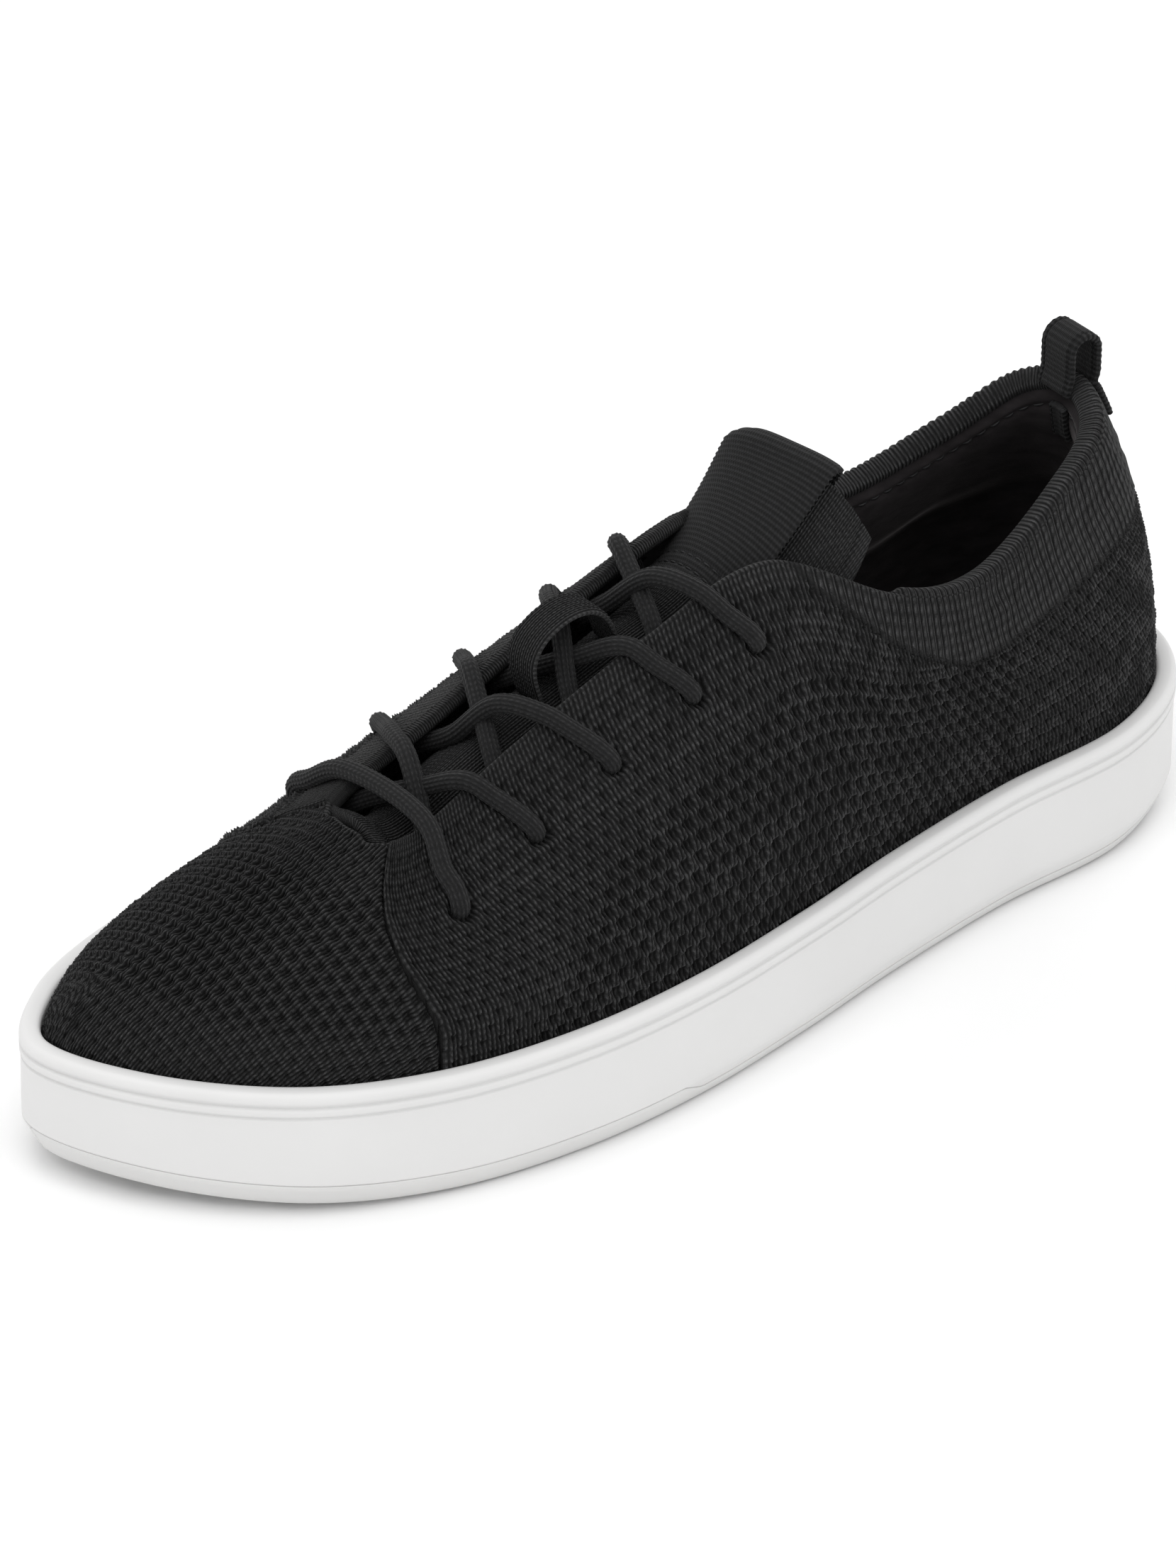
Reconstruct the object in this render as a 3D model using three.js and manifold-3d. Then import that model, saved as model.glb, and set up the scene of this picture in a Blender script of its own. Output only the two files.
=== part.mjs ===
// A knit lace-up sneaker on a cupsole, for the left foot.
// Millimetres. +Z is up, the toe points towards -Y and the outer (lateral) side is +X.
// The origin is on the ground, under the middle of the shoe's bounding box.
import * as THREE from 'three';
import Module from 'manifold-3d';
import { mergeVertices } from 'three/addons/utils/BufferGeometryUtils.js';

const wasm = await Module();
wasm.setup();

// ---- Driving dimensions ----
const GAP = 0.3; // between neighbours that touch on the real shoe
const LIP_INSET = 4.5; // from the sidewall to the line where the knit leaves the sole
const KNIT = 2.0; // thickness of the knit
const SOLE_TOP_TOE = 29.0; // height of the sole's lip
const SOLE_TOP_HEEL = 30.5;
const TOE_SPRING = 5.0; // rise of the sole at its two ends
const HEEL_LIFT = 2.0;
const SPRING_FROM = -57; // where the toe starts to rise, along Y
const LIFT_FROM = 100; // where the heel starts to rise
const PARTING_TOE = 6.0; // height of the outsole's visible edge
const PARTING_HEEL = 3.2;
const PARTING_STEP = [-24, -18]; // the short slope between the two heights
const BEVEL = 3.4; // how far the sole's foot is drawn in, over BEVEL_HEIGHT
const BEVEL_HEIGHT = 6.3;
const CUP_FLOOR_TOE = 9.0;
const CUP_FLOOR_HEEL = 6.6;
const BOARD_TOP_TOE = 15.0; // the strobel board, under the foot
const BOARD_TOP_HEEL = 19.8;
const BOARD = 1.3;
const FOOTBED_INSET = 11.0;
const FOOTBED_COVER = 1.0;
const LACE_R = 2.1;
const LACE_LIFT = 0.6; // air between the lace and the knit that it crosses
const EYELET_R = 3.1;
const TURN_R = 4.1; // the lace's bend where it goes through an eyelet
const BACKING = 0.8; // the tape under the throat's edges
const LINING = 0.8;
const STIFFENER = 0.9; // toe puff and heel counter
const KNIT_DEPTH_IN_CUP = 3; // from the sole's lip down to where the knit's curve starts

// Stations run once around the shoe, from the heel back along the outer side to the toe and home.
// Each row: sole outline x, y, then the shoulder that pulls the side inwards x, y, z,
// then the rim of the throat and collar x, y, z.
const STATIONS = [
  [-9.5, 147.5, -9.5, 135, 80, -9.5, 126, 98], // 0, heel back
  [12, 138, 9, 127, 78, 7, 119, 96],
  [25, 115, 19, 107, 73, 16, 103, 90],
  [29, 80, 27, 77, 66, 22.5, 76, 80],
  [36, 45, 33, 49, 70, 25, 50, 86],
  [43.5, 15, 33, 20, 82, 17.5, 21, 100], // 5, top of the outer throat edge
  [50, -18, 33, -14, 76, 15.5, -10, 91],
  [52, -50, 34, -46, 64, 15.5, -42, 78],
  [48, -83, 33, -77, 54, 17, -68, 67.5],
  [36, -112, 21, -94, 53, 12, -76.5, 65],
  [14, -135, 9, -99, 55, 8, -77.5, 66],
  [-11, -146, -5, -101, 55, 4, -78, 66.2], // 11, toe
  [-29, -132.5, -16, -99, 53, 0, -77.5, 66],
  [-40.5, -110.5, -25, -91, 51, -4, -76.5, 65],
  [-48, -80, -33, -74, 50, -9, -68, 66.5],
  [-48.5, -50, -34, -44, 61, -10, -42, 76.5],
  [-45, -18, -30, -12, 75, -11, -10, 89.5],
  [-41, 15, -29, 22, 83, -13, 21, 98.5], // 17, top of the inner throat edge
  [-40.5, 45, -35, 50, 70, -26, 50, 86],
  [-43, 78, -36, 78, 66, -30, 76, 80],
  [-46, 110, -37, 106, 73, -28, 102, 87],
  [-35, 137.5, -27, 128, 78, -22, 119, 95.5],
];
const COUNT = STATIONS.length;
const SIDE_SWELL = 0.5; // how far the knit leans outwards above the sole

// Rows along the tongue, from the vamp to its free end: middle of its outer face x, y, z,
// half width, how far its sides drop, how far round they turn (degrees), lean of the sides,
// flatness of the middle (1 is an arc), how far the outer side stands back per millimetre, and
// the inner side's width as a share of the outer side's.
const TONGUE_ROWS = [
  [4, -75.3, 65.5, 12, 6, 45, 0, 0.9, 0, 1],
  [4, -66, 64, 20, 18.5, 50, 0, 0.8, 0, 1],
  [2.7, -42, 73, 22, 19.5, 50, 0, 0.8, 0, 1],
  [2.2, -10, 84.4, 20, 18.4, 50, 0, 0.85, 0, 1],
  [2.2, 8, 90.5, 18.5, 13, 54, 0.1, 1, 0, 1],
  [2, 23, 101, 17.6, 17, 66, 0.25, 1.1, 0.07, 0.73],
  [-0.2, 38, 112, 20.5, 26, 80, 0.38, 1.6, 0.2, 0.73],
];
const TONGUE_END = TONGUE_ROWS.length - 1;
const FLEX_ROW = 4; // the row where the free end starts to bend
const TONGUE_KNIT = 1.6;
const TONGUE_FOAM = 2.6;
const TONGUE_LINING = 0.8;

// Eyelets: stations and heights up the side, outer side, from the toe to the ankle.
const EYELETS = [
  [7.72, 0.68],
  [7.06, 0.74],
  [6.42, 0.76],
  [5.76, 0.78],
  [5.24, 0.8],
];

// ---- Curves and surfaces ----
const mix = (a, b, t) => a + (b - a) * t;
const clamp01 = (t) => Math.min(1, Math.max(0, t));
const smooth = (a, b, x) => {
  const t = clamp01((x - a) / (b - a));
  return t * t * (3 - 2 * t);
};

// Uniform Catmull-Rom through rows of numbers. fetch returns row i.
function spline(fetch, at) {
  const i = Math.floor(at);
  const t = at - i;
  const [a, b, c, d] = [fetch(i - 1), fetch(i), fetch(i + 1), fetch(i + 2)];
  return b.map((_, k) => {
    const slope = (c[k] - a[k]) * t;
    const bend = (2 * a[k] - 5 * b[k] + 4 * c[k] - d[k]) * t * t;
    const twist = (3 * b[k] - a[k] - 3 * c[k] + d[k]) * t * t * t;
    return 0.5 * (2 * b[k] + slope + bend + twist);
  });
}
const station = (u) => spline((i) => STATIONS[((i % COUNT) + COUNT) % COUNT], u);
const outline = (u) => new THREE.Vector2(...station(u).slice(0, 2));

function outlineNormal(u) {
  const along = outline(u + 0.02).sub(outline(u - 0.02)).normalize();
  return new THREE.Vector2(-along.y, along.x);
}

// Heights of the sole's layers at a given y.
const lengthways = (y) => clamp01((y + 147) / 294);
function spring(y) {
  if (y < SPRING_FROM) return TOE_SPRING * ((SPRING_FROM - y) / 90) ** 2;
  if (y > LIFT_FROM) return HEEL_LIFT * ((y - LIFT_FROM) / 47) ** 2;
  return 0;
}
const soleTop = (y) => mix(SOLE_TOP_TOE, SOLE_TOP_HEEL, lengthways(y)) + 0.4 * spring(y);
const parting = (y) => {
  const step = clamp01((y - PARTING_STEP[0]) / (PARTING_STEP[1] - PARTING_STEP[0]));
  return mix(PARTING_TOE, PARTING_HEEL, step) + spring(y);
};
const cupFloor = (y) => mix(CUP_FLOOR_TOE, CUP_FLOOR_HEEL, smooth(-50, 70, y)) + spring(y);
const boardTop = (y) => {
  return mix(BOARD_TOP_TOE, BOARD_TOP_HEEL, smooth(-50, 70, y)) + 0.8 * spring(y);
};
const bevelInset = (y, z) => BEVEL * clamp01(1 - (z - spring(y)) / BEVEL_HEIGHT);

// The upper's outer face. u is the station, v runs from 0 at the sole's lip to 1 at the rim.
// Below 0 the knit hangs straight down inside the cup, and reaches the board at -1.
function upperPoint(u, v) {
  const row = station(u);
  const normal = outlineNormal(u);
  const foot = new THREE.Vector2(row[0], row[1]).addScaledVector(normal, -LIP_INSET - GAP);
  const lipZ = soleTop(row[1]) - KNIT_DEPTH_IN_CUP;
  const start = new THREE.Vector3(foot.x, foot.y, lipZ);
  if (v < 0) return start.setZ(mix(lipZ, boardTop(row[1]) + GAP, -v));
  const shoulder = new THREE.Vector3(row[2], row[3], row[4]);
  const swell = foot.clone().addScaledVector(normal, SIDE_SWELL);
  const upright = new THREE.Vector3(swell.x, swell.y, mix(lipZ, shoulder.z, 0.5));
  const rim = new THREE.Vector3(row[5], row[6], row[7]);
  const curve = new THREE.CubicBezierCurve3(start, upright, shoulder, rim);
  return curve.getPoint(v);
}

function faceNormal(pointAt, a, b) {
  const step = 0.01;
  const alongA = pointAt(a + step, b).sub(pointAt(a - step, b));
  const alongB = pointAt(a, b + step).sub(pointAt(a, b - step));
  return alongA.cross(alongB).normalize();
}
function upperNormal(u, v) {
  return faceNormal(upperPoint, u, Math.min(0.985, Math.max(0.015, v))).negate();
}
const onUpper = (u, v, offset) => upperPoint(u, v).addScaledVector(upperNormal(u, v), offset);

// The tongue's outer face. s is the row, t runs across from -1 to 1.
function tonguePoint(s, t) {
  const last = TONGUE_END;
  const fetch = (i) => {
    if (i < 0) return TONGUE_ROWS[0].map((n, k) => 2 * n - TONGUE_ROWS[1][k]);
    if (i > last) return TONGUE_ROWS[last].map((n, k) => 2 * n - TONGUE_ROWS[last - 1][k]);
    return TONGUE_ROWS[i];
  };
  const [x, y, z, half, drop, turn, lean, flatness, twist, inner] = spline(fetch, s);
  const whole = THREE.MathUtils.degToRad(turn);
  const angle = whole * (t < 0 ? t * inner : t);
  const fall = drop * ((1 - Math.cos(angle)) / (1 - Math.cos(whole))) ** flatness;
  const across = (half * Math.sin(angle)) / Math.sin(whole);
  return new THREE.Vector3(x + across, y + lean * fall + twist * across, z - fall);
}
const onTongue = (s, t, offset) => {
  return tonguePoint(s, t).addScaledVector(faceNormal(tonguePoint, s, t).negate(), offset);
};

// ---- Solids ----
function signedVolume(points, faces) {
  const triple = ([a, b, c]) => points[a].dot(points[b].clone().cross(points[c]));
  return faces.reduce((sum, face) => sum + triple(face), 0);
}

function solidFrom(points, faces) {
  const outward = signedVolume(points, faces) > 0;
  const order = outward ? faces : faces.map(([a, b, c]) => [a, c, b]);
  const geometry = new THREE.BufferGeometry().setFromPoints(points);
  geometry.setIndex(order.flat());
  return geometry;
}

const quad = (a, b, c, d) => [[a, b, c], [a, c, d]];

// A closed sheet: outer and inner faces over a grid of columns and rows, joined at the edges.
// place(i, j, side) gives a corner, side 0 for the outer face and 1 for the inner one.
function sheet(columns, rows, place) {
  const points = [];
  const faces = [];
  const index = (i, j, side) => (side * (columns + 1) + i) * (rows + 1) + j;
  for (const side of [0, 1]) {
    for (let i = 0; i <= columns; i++) {
      for (let j = 0; j <= rows; j++) points.push(place(i / columns, j / rows, side));
    }
  }
  const face = (corners) => faces.push(...quad(...corners.map((corner) => index(...corner))));
  for (let i = 0; i < columns; i++) {
    for (let j = 0; j < rows; j++) {
      face([[i, j, 0], [i + 1, j, 0], [i + 1, j + 1, 0], [i, j + 1, 0]]);
      face([[i, j + 1, 1], [i + 1, j + 1, 1], [i + 1, j, 1], [i, j, 1]]);
    }
    face([[i, 0, 1], [i + 1, 0, 1], [i + 1, 0, 0], [i, 0, 0]]);
    face([[i, rows, 0], [i + 1, rows, 0], [i + 1, rows, 1], [i, rows, 1]]);
  }
  for (let j = 0; j < rows; j++) {
    face([[0, j, 0], [0, j + 1, 0], [0, j + 1, 1], [0, j, 1]]);
    face([[columns, j + 1, 0], [columns, j, 0], [columns, j, 1], [columns, j + 1, 1]]);
  }
  return solidFrom(points, faces);
}

// A layer of the upper. from(v) and to(v) are its end stations, levels its heights,
// outer(v) and inner(v) its depths under the outer face.
function upperLayer({ from, to, levels, outer, inner, columns }) {
  const rows = levels.length - 1;
  return sheet(columns, rows, (across, up, side) => {
    const v = levels[Math.round(up * rows)];
    const u = mix(from(v), to(v), across);
    return onUpper(u, v, -(side ? inner(v) : outer(v)));
  });
}
const evenLevels = (low, high, rows) => {
  return Array.from({ length: rows + 1 }, (_, j) => mix(low, high, j / rows));
};

// Sole layers: rings that follow the outline, each with an inset and a height.
// Extra samples keep the parting line's step short.
const RING_SAMPLES = 72;
const STEP_STATIONS = [6.02, 6.2];
const ringStations = [
  ...Array.from({ length: RING_SAMPLES }, (_, i) => (i * COUNT) / RING_SAMPLES),
  ...STEP_STATIONS,
  ...STEP_STATIONS.map((u) => COUNT - u),
].sort((a, b) => a - b);

function ring(insetAt, heightAt) {
  return ringStations.map((u) => {
    const edge = outline(u);
    const height = heightAt(edge.y);
    const place = edge.clone().addScaledVector(outlineNormal(u), -insetAt(edge.y, height));
    return new THREE.Vector3(place.x, place.y, height);
  });
}

// Closes a ring with strips that join its two long sides, so a sloping end stays smooth.
function ladder(start, count) {
  const faces = [[start, start + 1, start + count - 1]];
  for (let i = 1; i < count / 2 - 1; i++) {
    faces.push(...quad(start + i, start + i + 1, start + count - i - 1, start + count - i));
  }
  const end = start + count / 2;
  faces.push([end - 1, end, end + 1]);
  return faces;
}

function loft(rings) {
  const count = ringStations.length;
  const faces = ladder(0, count).map(([a, b, c]) => [a, c, b]);
  for (let r = 0; r < rings.length - 1; r++) {
    for (let i = 0; i < count; i++) {
      const next = (i + 1) % count;
      const low = r * count;
      faces.push(...quad(low + i, low + next, low + count + next, low + count + i));
    }
  }
  faces.push(...ladder((rings.length - 1) * count, count));
  return solidFrom(rings.flat(), faces);
}

const constant = (value) => () => value;

function outsole() {
  return loft([ring(constant(BEVEL), spring), ring(bevelInset, parting)]);
}

// The rounded lip, from the sidewall inwards: inset and depth below the top.
const LIP = [[0, 3], [0.7, 1], [2.2, 0], [LIP_INSET, 0.4]];
function cupsole() {
  return loft([
    ring(bevelInset, (y) => parting(y) + GAP),
    ring(constant(0), (y) => spring(y) + BEVEL_HEIGHT + GAP),
    ...LIP.map(([inset, drop]) => ring(constant(inset), (y) => soleTop(y) - drop)),
    ring(constant(LIP_INSET), cupFloor),
  ]);
}

function soleSlab(inset, bottomAt, topAt) {
  return loft([ring(constant(inset), bottomAt), ring(constant(inset), topAt)]);
}
const boardBottom = (y) => boardTop(y) - BOARD;
const footbedFoamTop = (y) => boardTop(y) + GAP + mix(3.5, 6, smooth(-60, 60, y));

// ---- Upper ----
const seamLateral = (v) => 8 + 0.55 * smooth(0.2, 0.95, v);
const seamMedial = (v) => COUNT - seamLateral(v);
const SEAM_GAP = 0.012; // in stations
const PAD = 4; // collar foam
const padding = (v) => smooth(0.5, 0.66, v) * (1 - 0.55 * smooth(0.85, 1, v));
const liningDepth = (v) => 4.2 + 3 * padding(v);
const STIFFENER_FROM = KNIT + 0.4;
const FOAM_UNDER_KNIT = KNIT + 0.4;
const VAMP_LINING_FROM = 3.9;

function toSolid(geometry) {
  const bare = geometry.clone();
  bare.deleteAttribute('normal');
  bare.deleteAttribute('uv');
  const merged = mergeVertices(bare, 1e-4);
  const vertProperties = new Float32Array(merged.attributes.position.array);
  const triVerts = new Uint32Array(merged.index.array);
  return new wasm.Manifold(new wasm.Mesh({ numProp: 3, vertProperties, triVerts }));
}

function toGeometry(solid) {
  const { vertProperties, triVerts } = solid.getMesh();
  const geometry = new THREE.BufferGeometry();
  geometry.setAttribute('position', new THREE.BufferAttribute(vertProperties, 3));
  geometry.setIndex(new THREE.BufferAttribute(triVerts, 1));
  return geometry;
}

const eyeletStation = (side, u) => (side > 0 ? u : COUNT - u);
const PUNCH_LENGTH = 14;
const PUNCH_SIDES = 12;

// Cuts the five eyelets of one side. side is 1 for the outer side and -1 for the inner one.
function punched(geometry, side) {
  let solid = toSolid(geometry);
  for (const [u, v] of EYELETS) {
    const punch = new THREE.CylinderGeometry(EYELET_R, EYELET_R, PUNCH_LENGTH, PUNCH_SIDES);
    const at = eyeletStation(side, u);
    const up = new THREE.Vector3(0, 1, 0);
    punch.applyQuaternion(new THREE.Quaternion().setFromUnitVectors(up, upperNormal(at, v)));
    punch.translate(...upperPoint(at, v).toArray());
    solid = solid.subtract(toSolid(punch));
  }
  return toGeometry(solid);
}

const SKIRTED = [-1, ...evenLevels(0, 1, 8)];

function quarter(side) {
  const heel = side > 0 ? SEAM_GAP : COUNT - SEAM_GAP;
  const seam = (v) => (side > 0 ? seamLateral(v) - SEAM_GAP : seamMedial(v) + SEAM_GAP);
  return punched(upperLayer({
    from: constant(heel), to: seam, levels: SKIRTED, columns: 24,
    outer: constant(0), inner: constant(KNIT),
  }), side);
}

function vamp() {
  return upperLayer({
    from: (v) => seamLateral(v) + SEAM_GAP, to: (v) => seamMedial(v) - SEAM_GAP,
    levels: SKIRTED, columns: 22, outer: constant(0), inner: constant(KNIT),
  });
}

function toePuff() {
  return upperLayer({
    from: constant(8.8), to: constant(COUNT - 8.8), levels: evenLevels(0.05, 0.45, 4),
    columns: 16, outer: constant(STIFFENER_FROM), inner: constant(STIFFENER_FROM + STIFFENER),
  });
}

function vampLining() {
  return upperLayer({
    from: (v) => seamLateral(v) + 0.1, to: (v) => seamMedial(v) - 0.1,
    levels: [-1, ...evenLevels(0, 0.9, 6)], columns: 20,
    outer: constant(VAMP_LINING_FROM), inner: constant(VAMP_LINING_FROM + LINING),
  });
}

// Pieces that wrap the heel run from a station on the inner side, counted below 0, to one on the
// outer side.
function heelCounter() {
  return upperLayer({
    from: constant(-3), to: constant(3), levels: evenLevels(0.02, 0.52, 4),
    columns: 16, outer: constant(STIFFENER_FROM), inner: constant(STIFFENER_FROM + STIFFENER),
  });
}

function collarFoam() {
  return upperLayer({
    from: constant(-3.5), to: constant(3.5), levels: evenLevels(0.6, 0.97, 4),
    columns: 20, outer: constant(FOAM_UNDER_KNIT), inner: (v) => FOAM_UNDER_KNIT + 0.2 + PAD * padding(v),
  });
}

function heelLining() {
  return upperLayer({
    from: constant(-3.9), to: constant(3.9), levels: [-1, ...evenLevels(0, 0.98, 8)],
    columns: 22, outer: liningDepth, inner: (v) => liningDepth(v) + LINING,
  });
}

// The rim that closes the tops of knit, foam and lining: a low bead along the collar's topline.
function collarBinding() {
  const sides = 8;
  const columns = 36;
  const from = -4.05;
  const to = 4.05;
  const width = (u) => (Math.abs(u) < 3.9 ? 5 : 2.4);
  return sweptBead(columns, sides, (across, angle) => {
    const u = mix(from, to, across);
    const top = upperPoint(u, 1);
    const out = upperNormal(u, 1);
    const up = upperPoint(u, 1).sub(upperPoint(u, 0.97)).normalize();
    const half = width(u) / 2;
    const middle = top.addScaledVector(out, -half + 0.3).addScaledVector(up, 1.35);
    return middle.addScaledVector(out, half * Math.cos(angle)).addScaledVector(up, Math.sin(angle));
  });
}

// A bead closed at both ends by flat caps. place(across, angle) gives a point of its skin.
function sweptBead(columns, sides, place) {
  const points = [];
  const faces = [];
  for (let i = 0; i <= columns; i++) {
    for (let j = 0; j < sides; j++) points.push(place(i / columns, (2 * Math.PI * j) / sides));
  }
  for (let i = 0; i < columns; i++) {
    for (let j = 0; j < sides; j++) {
      const next = (j + 1) % sides;
      faces.push(...quad(i * sides + j, i * sides + next, (i + 1) * sides + next, (i + 1) * sides + j));
    }
  }
  for (let j = 1; j < sides - 1; j++) {
    faces.push([0, j + 1, j]);
    faces.push([columns * sides, columns * sides + j, columns * sides + j + 1]);
  }
  return solidFrom(points, faces);
}

// The tape under each throat edge, with the same five eyelets.
const BACKING_ENDS = [4.95, 8.05]; // stations
function eyestayBacking(side) {
  const ends = BACKING_ENDS.map((u) => eyeletStation(side, u));
  const depth = KNIT + GAP;
  return punched(upperLayer({
    from: constant(ends[0]), to: constant(ends[1]), levels: evenLevels(0.6, 0.97, 4),
    columns: 12, outer: constant(depth), inner: constant(depth + BACKING),
  }), side);
}

// ---- Tongue ----
const FLEX_STAND_BACK = 0.45;
const FLEX_SLACK = 0.3; // opening per millimetre above or below the flex axis
const FLEX_ROW_LENGTH = 17; // of one row there, along Y
const FLEX_AXIS_DEPTH = 3; // the flex axis lies inside the tongue

// The row where a layer meets the flex line, on the free side (1) or the fixed side (-1). It
// stands back from the line, more so at the sides, which lie below the axis.
function rowAtFlex(t, offset, side) {
  const axis = tonguePoint(FLEX_ROW, 0);
  axis.z -= FLEX_AXIS_DEPTH;
  let row = FLEX_ROW;
  for (let i = 0; i < 6; i++) {
    const point = onTongue(row, t, offset);
    const back = FLEX_STAND_BACK + FLEX_SLACK * Math.abs(axis.z - point.z);
    row += (axis.y + side * back - point.y) / FLEX_ROW_LENGTH;
  }
  return row;
}

// A layer of the tongue between two depths, from row a to row b.
const TONGUE_COLUMNS = 10;
function tongueLayer(a, b, outer, inner, rows, inset = 0) {
  return sheet(TONGUE_COLUMNS, rows, (across, along, side) => {
    const t = mix(-1 + inset, 1 - inset, across);
    const offset = -(side ? inner : outer);
    const start = a === FLEX_ROW ? rowAtFlex(t, offset, 1) : a;
    const end = b === FLEX_ROW ? rowAtFlex(t, offset, -1) : b;
    return onTongue(mix(start, end, along), t, offset);
  });
}
const FOAM_FROM = TONGUE_KNIT + GAP;
const LINING_FROM = FOAM_FROM + TONGUE_FOAM + GAP;
const tongueKnit = (a, b, rows) => tongueLayer(a, b, 0, TONGUE_KNIT, rows);
const tongueFoam = (a, b, rows) => tongueLayer(a, b, FOAM_FROM, FOAM_FROM + TONGUE_FOAM, rows, 0.06);
const tongueLining = (a, b, rows) => tongueLayer(a, b, LINING_FROM, LINING_FROM + TONGUE_LINING, rows);

// Webbing folded over the tongue's end: down the outer face, and a short way down the lining.
const LABEL = 1.1;
const LABEL_FROM = 4.2; // row of its lower edge
const LABEL_BACK_ROWS = 0.7;
const LABEL_SIDES = [-0.74, 0.62]; // its two edges, as shares of the tongue's width
function tongueLabel() {
  const depth = LINING_FROM + TONGUE_LINING;
  const middle = -depth / 2;
  const reach = depth / 2 + GAP;
  const front = evenLevels(LABEL_FROM, TONGUE_END, 5).map((s) => [s, 0]);
  const fold = evenLevels(-90, 90, 4).slice(1, -1).map((angle) => [TONGUE_END, angle]);
  const rear = evenLevels(TONGUE_END, TONGUE_END - LABEL_BACK_ROWS, 2).map((s) => [s, 1]);
  const path = [...front, ...fold.map(([s, angle]) => [s, 'turn', angle]), ...rear];
  return sheet(8, path.length - 1, (across, along, side) => {
    const t = mix(...LABEL_SIDES, across);
    const [s, kind, angle] = path[Math.round(along * (path.length - 1))];
    const radius = side ? reach : reach + LABEL;
    if (kind === 0) return onTongue(s, t, middle + radius);
    if (kind === 1) return onTongue(s, t, middle - radius);
    const forward = tonguePoint(TONGUE_END, t).sub(tonguePoint(TONGUE_END - 0.05, t)).normalize();
    const turn = THREE.MathUtils.degToRad(angle);
    const point = onTongue(TONGUE_END, t, middle - radius * Math.sin(turn));
    return point.addScaledVector(forward, radius * Math.cos(turn));
  });
}

// ---- Lacing ----
// The lace crosses over the throat at the first pair of eyelets. From there each half goes down
// through an eyelet, out under the throat edge, across the tongue and over the opposite edge to
// the next eyelet. It is one cord, held all the way, with its ends tucked under the knit.
const UNDER = KNIT + GAP + BACKING + 0.55 + LACE_R; // depth of the runs beneath the edge
const OVER = LACE_R + LACE_LIFT; // height of the runs on top
const TURN_MIDDLE = (OVER - UNDER) / 2;
const CROSSING_RISE = LACE_R + 0.15; // each strand gives way by this much where two cross
const CROSSING_SAG = -2.6;

const eyelet = (side, k) => ({ u: eyeletStation(side, EYELETS[k][0]), v: EYELETS[k][1] });
const rimAt = (side, k) => eyeletStation(side, EYELETS[k][0] + (k === 0 ? 0.2 : 0.1));

// The bend through one eyelet, from the top of the knit to beneath it.
function eyeletTurn(side, k, from, to) {
  const { u, v } = eyelet(side, k);
  const centre = upperPoint(u, v);
  const normal = upperNormal(u, v);
  const flat = (point) => point.clone().sub(centre).projectOnPlane(normal).normalize();
  const reach = (OVER + UNDER) / 2;
  const bend = (way, degrees) => {
    const angle = THREE.MathUtils.degToRad(degrees);
    const along = flat(way).multiplyScalar(TURN_R * (1 - Math.cos(angle)));
    return centre.clone().addScaledVector(normal, TURN_MIDDLE + reach * Math.sin(angle)).add(along);
  };
  return [bend(from, 90), bend(from, 45), bend(from, 0), bend(to, -45), bend(to, -90)];
}

// From under the edge at eyelet a, across the tongue and over the far edge to eyelet b.
function strand(side, a, b, rise) {
  const under = onUpper(rimAt(side, a), 0.92, -UNDER);
  const out = onUpper(rimAt(side, a), 1.05, -UNDER);
  const share = 0.6;
  const rimStation = mix(rimAt(-side, a), rimAt(-side, b), share);
  const over = onUpper(rimStation, 1.06, OVER + 0.2);
  const end = eyelet(-side, b);
  const way = onUpper(mix(rimStation, end.u, 0.4), 0.92, OVER + 0.1);
  const middle = out.clone().lerp(over, 0.5);
  middle.z += rise - CROSSING_SAG;
  return [under, out, middle, over, way];
}

function tail(side) {
  const stops = [[0.25, 0.6], [0.6, 0.5], [1.1, 0.46], [1.6, 0.46]];
  const { u } = eyelet(side, EYELETS.length - 1);
  return stops.map(([along, v]) => onUpper(u + side * along, v, -UNDER - 0.3));
}

// One half of the route, from the bar at the first eyelet to the tucked end.
function laceHalf(firstSide, rise) {
  const points = [];
  let side = firstSide;
  let from = onUpper(rimAt(side, 0), 0.97, OVER);
  for (let k = 0; k < EYELETS.length; k++) {
    const last = k === EYELETS.length - 1;
    const to = last ? tail(side)[0] : onUpper(rimAt(side, k), 0.97, -UNDER);
    points.push(...eyeletTurn(side, k, from, to));
    if (last) break;
    const run = strand(side, k, k + 1, rise);
    points.push(...run);
    from = run[run.length - 1];
    side = -side;
  }
  return { points: [...points, ...tail(side)], side };
}

// Even steps between the route's own points, so the short bends keep theirs.
class HeldCord extends THREE.CatmullRomCurve3 {
  getSpacedPoints(divisions) {
    return this.getPoints(divisions);
  }

  getTangentAt(at, target) {
    return this.getTangent(at, target);
  }
}

function lacePath() {
  const outer = laceHalf(1, CROSSING_RISE);
  const inner = laceHalf(-1, -CROSSING_RISE);
  const bar = [-1, 1].map((side) => onUpper(rimAt(side, 0), 1, OVER + 0.4));
  const barWay = [-1, 1].map((side) => {
    const { u, v } = eyelet(side, 0);
    return onUpper(mix(rimAt(side, 0), u, 0.5), mix(0.97, v, 0.5), OVER + 0.1);
  });
  const start = [...inner.points].reverse();
  return { points: [...start, barWay[0], ...bar, barWay[1], ...outer.points], outer, inner };
}

function circleShape(radius, sides) {
  const corners = Array.from({ length: sides }, (_, i) => {
    const angle = (2 * Math.PI * i) / sides;
    return new THREE.Vector2(radius * Math.cos(angle), radius * Math.sin(angle));
  });
  return new THREE.Shape(corners);
}

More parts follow.
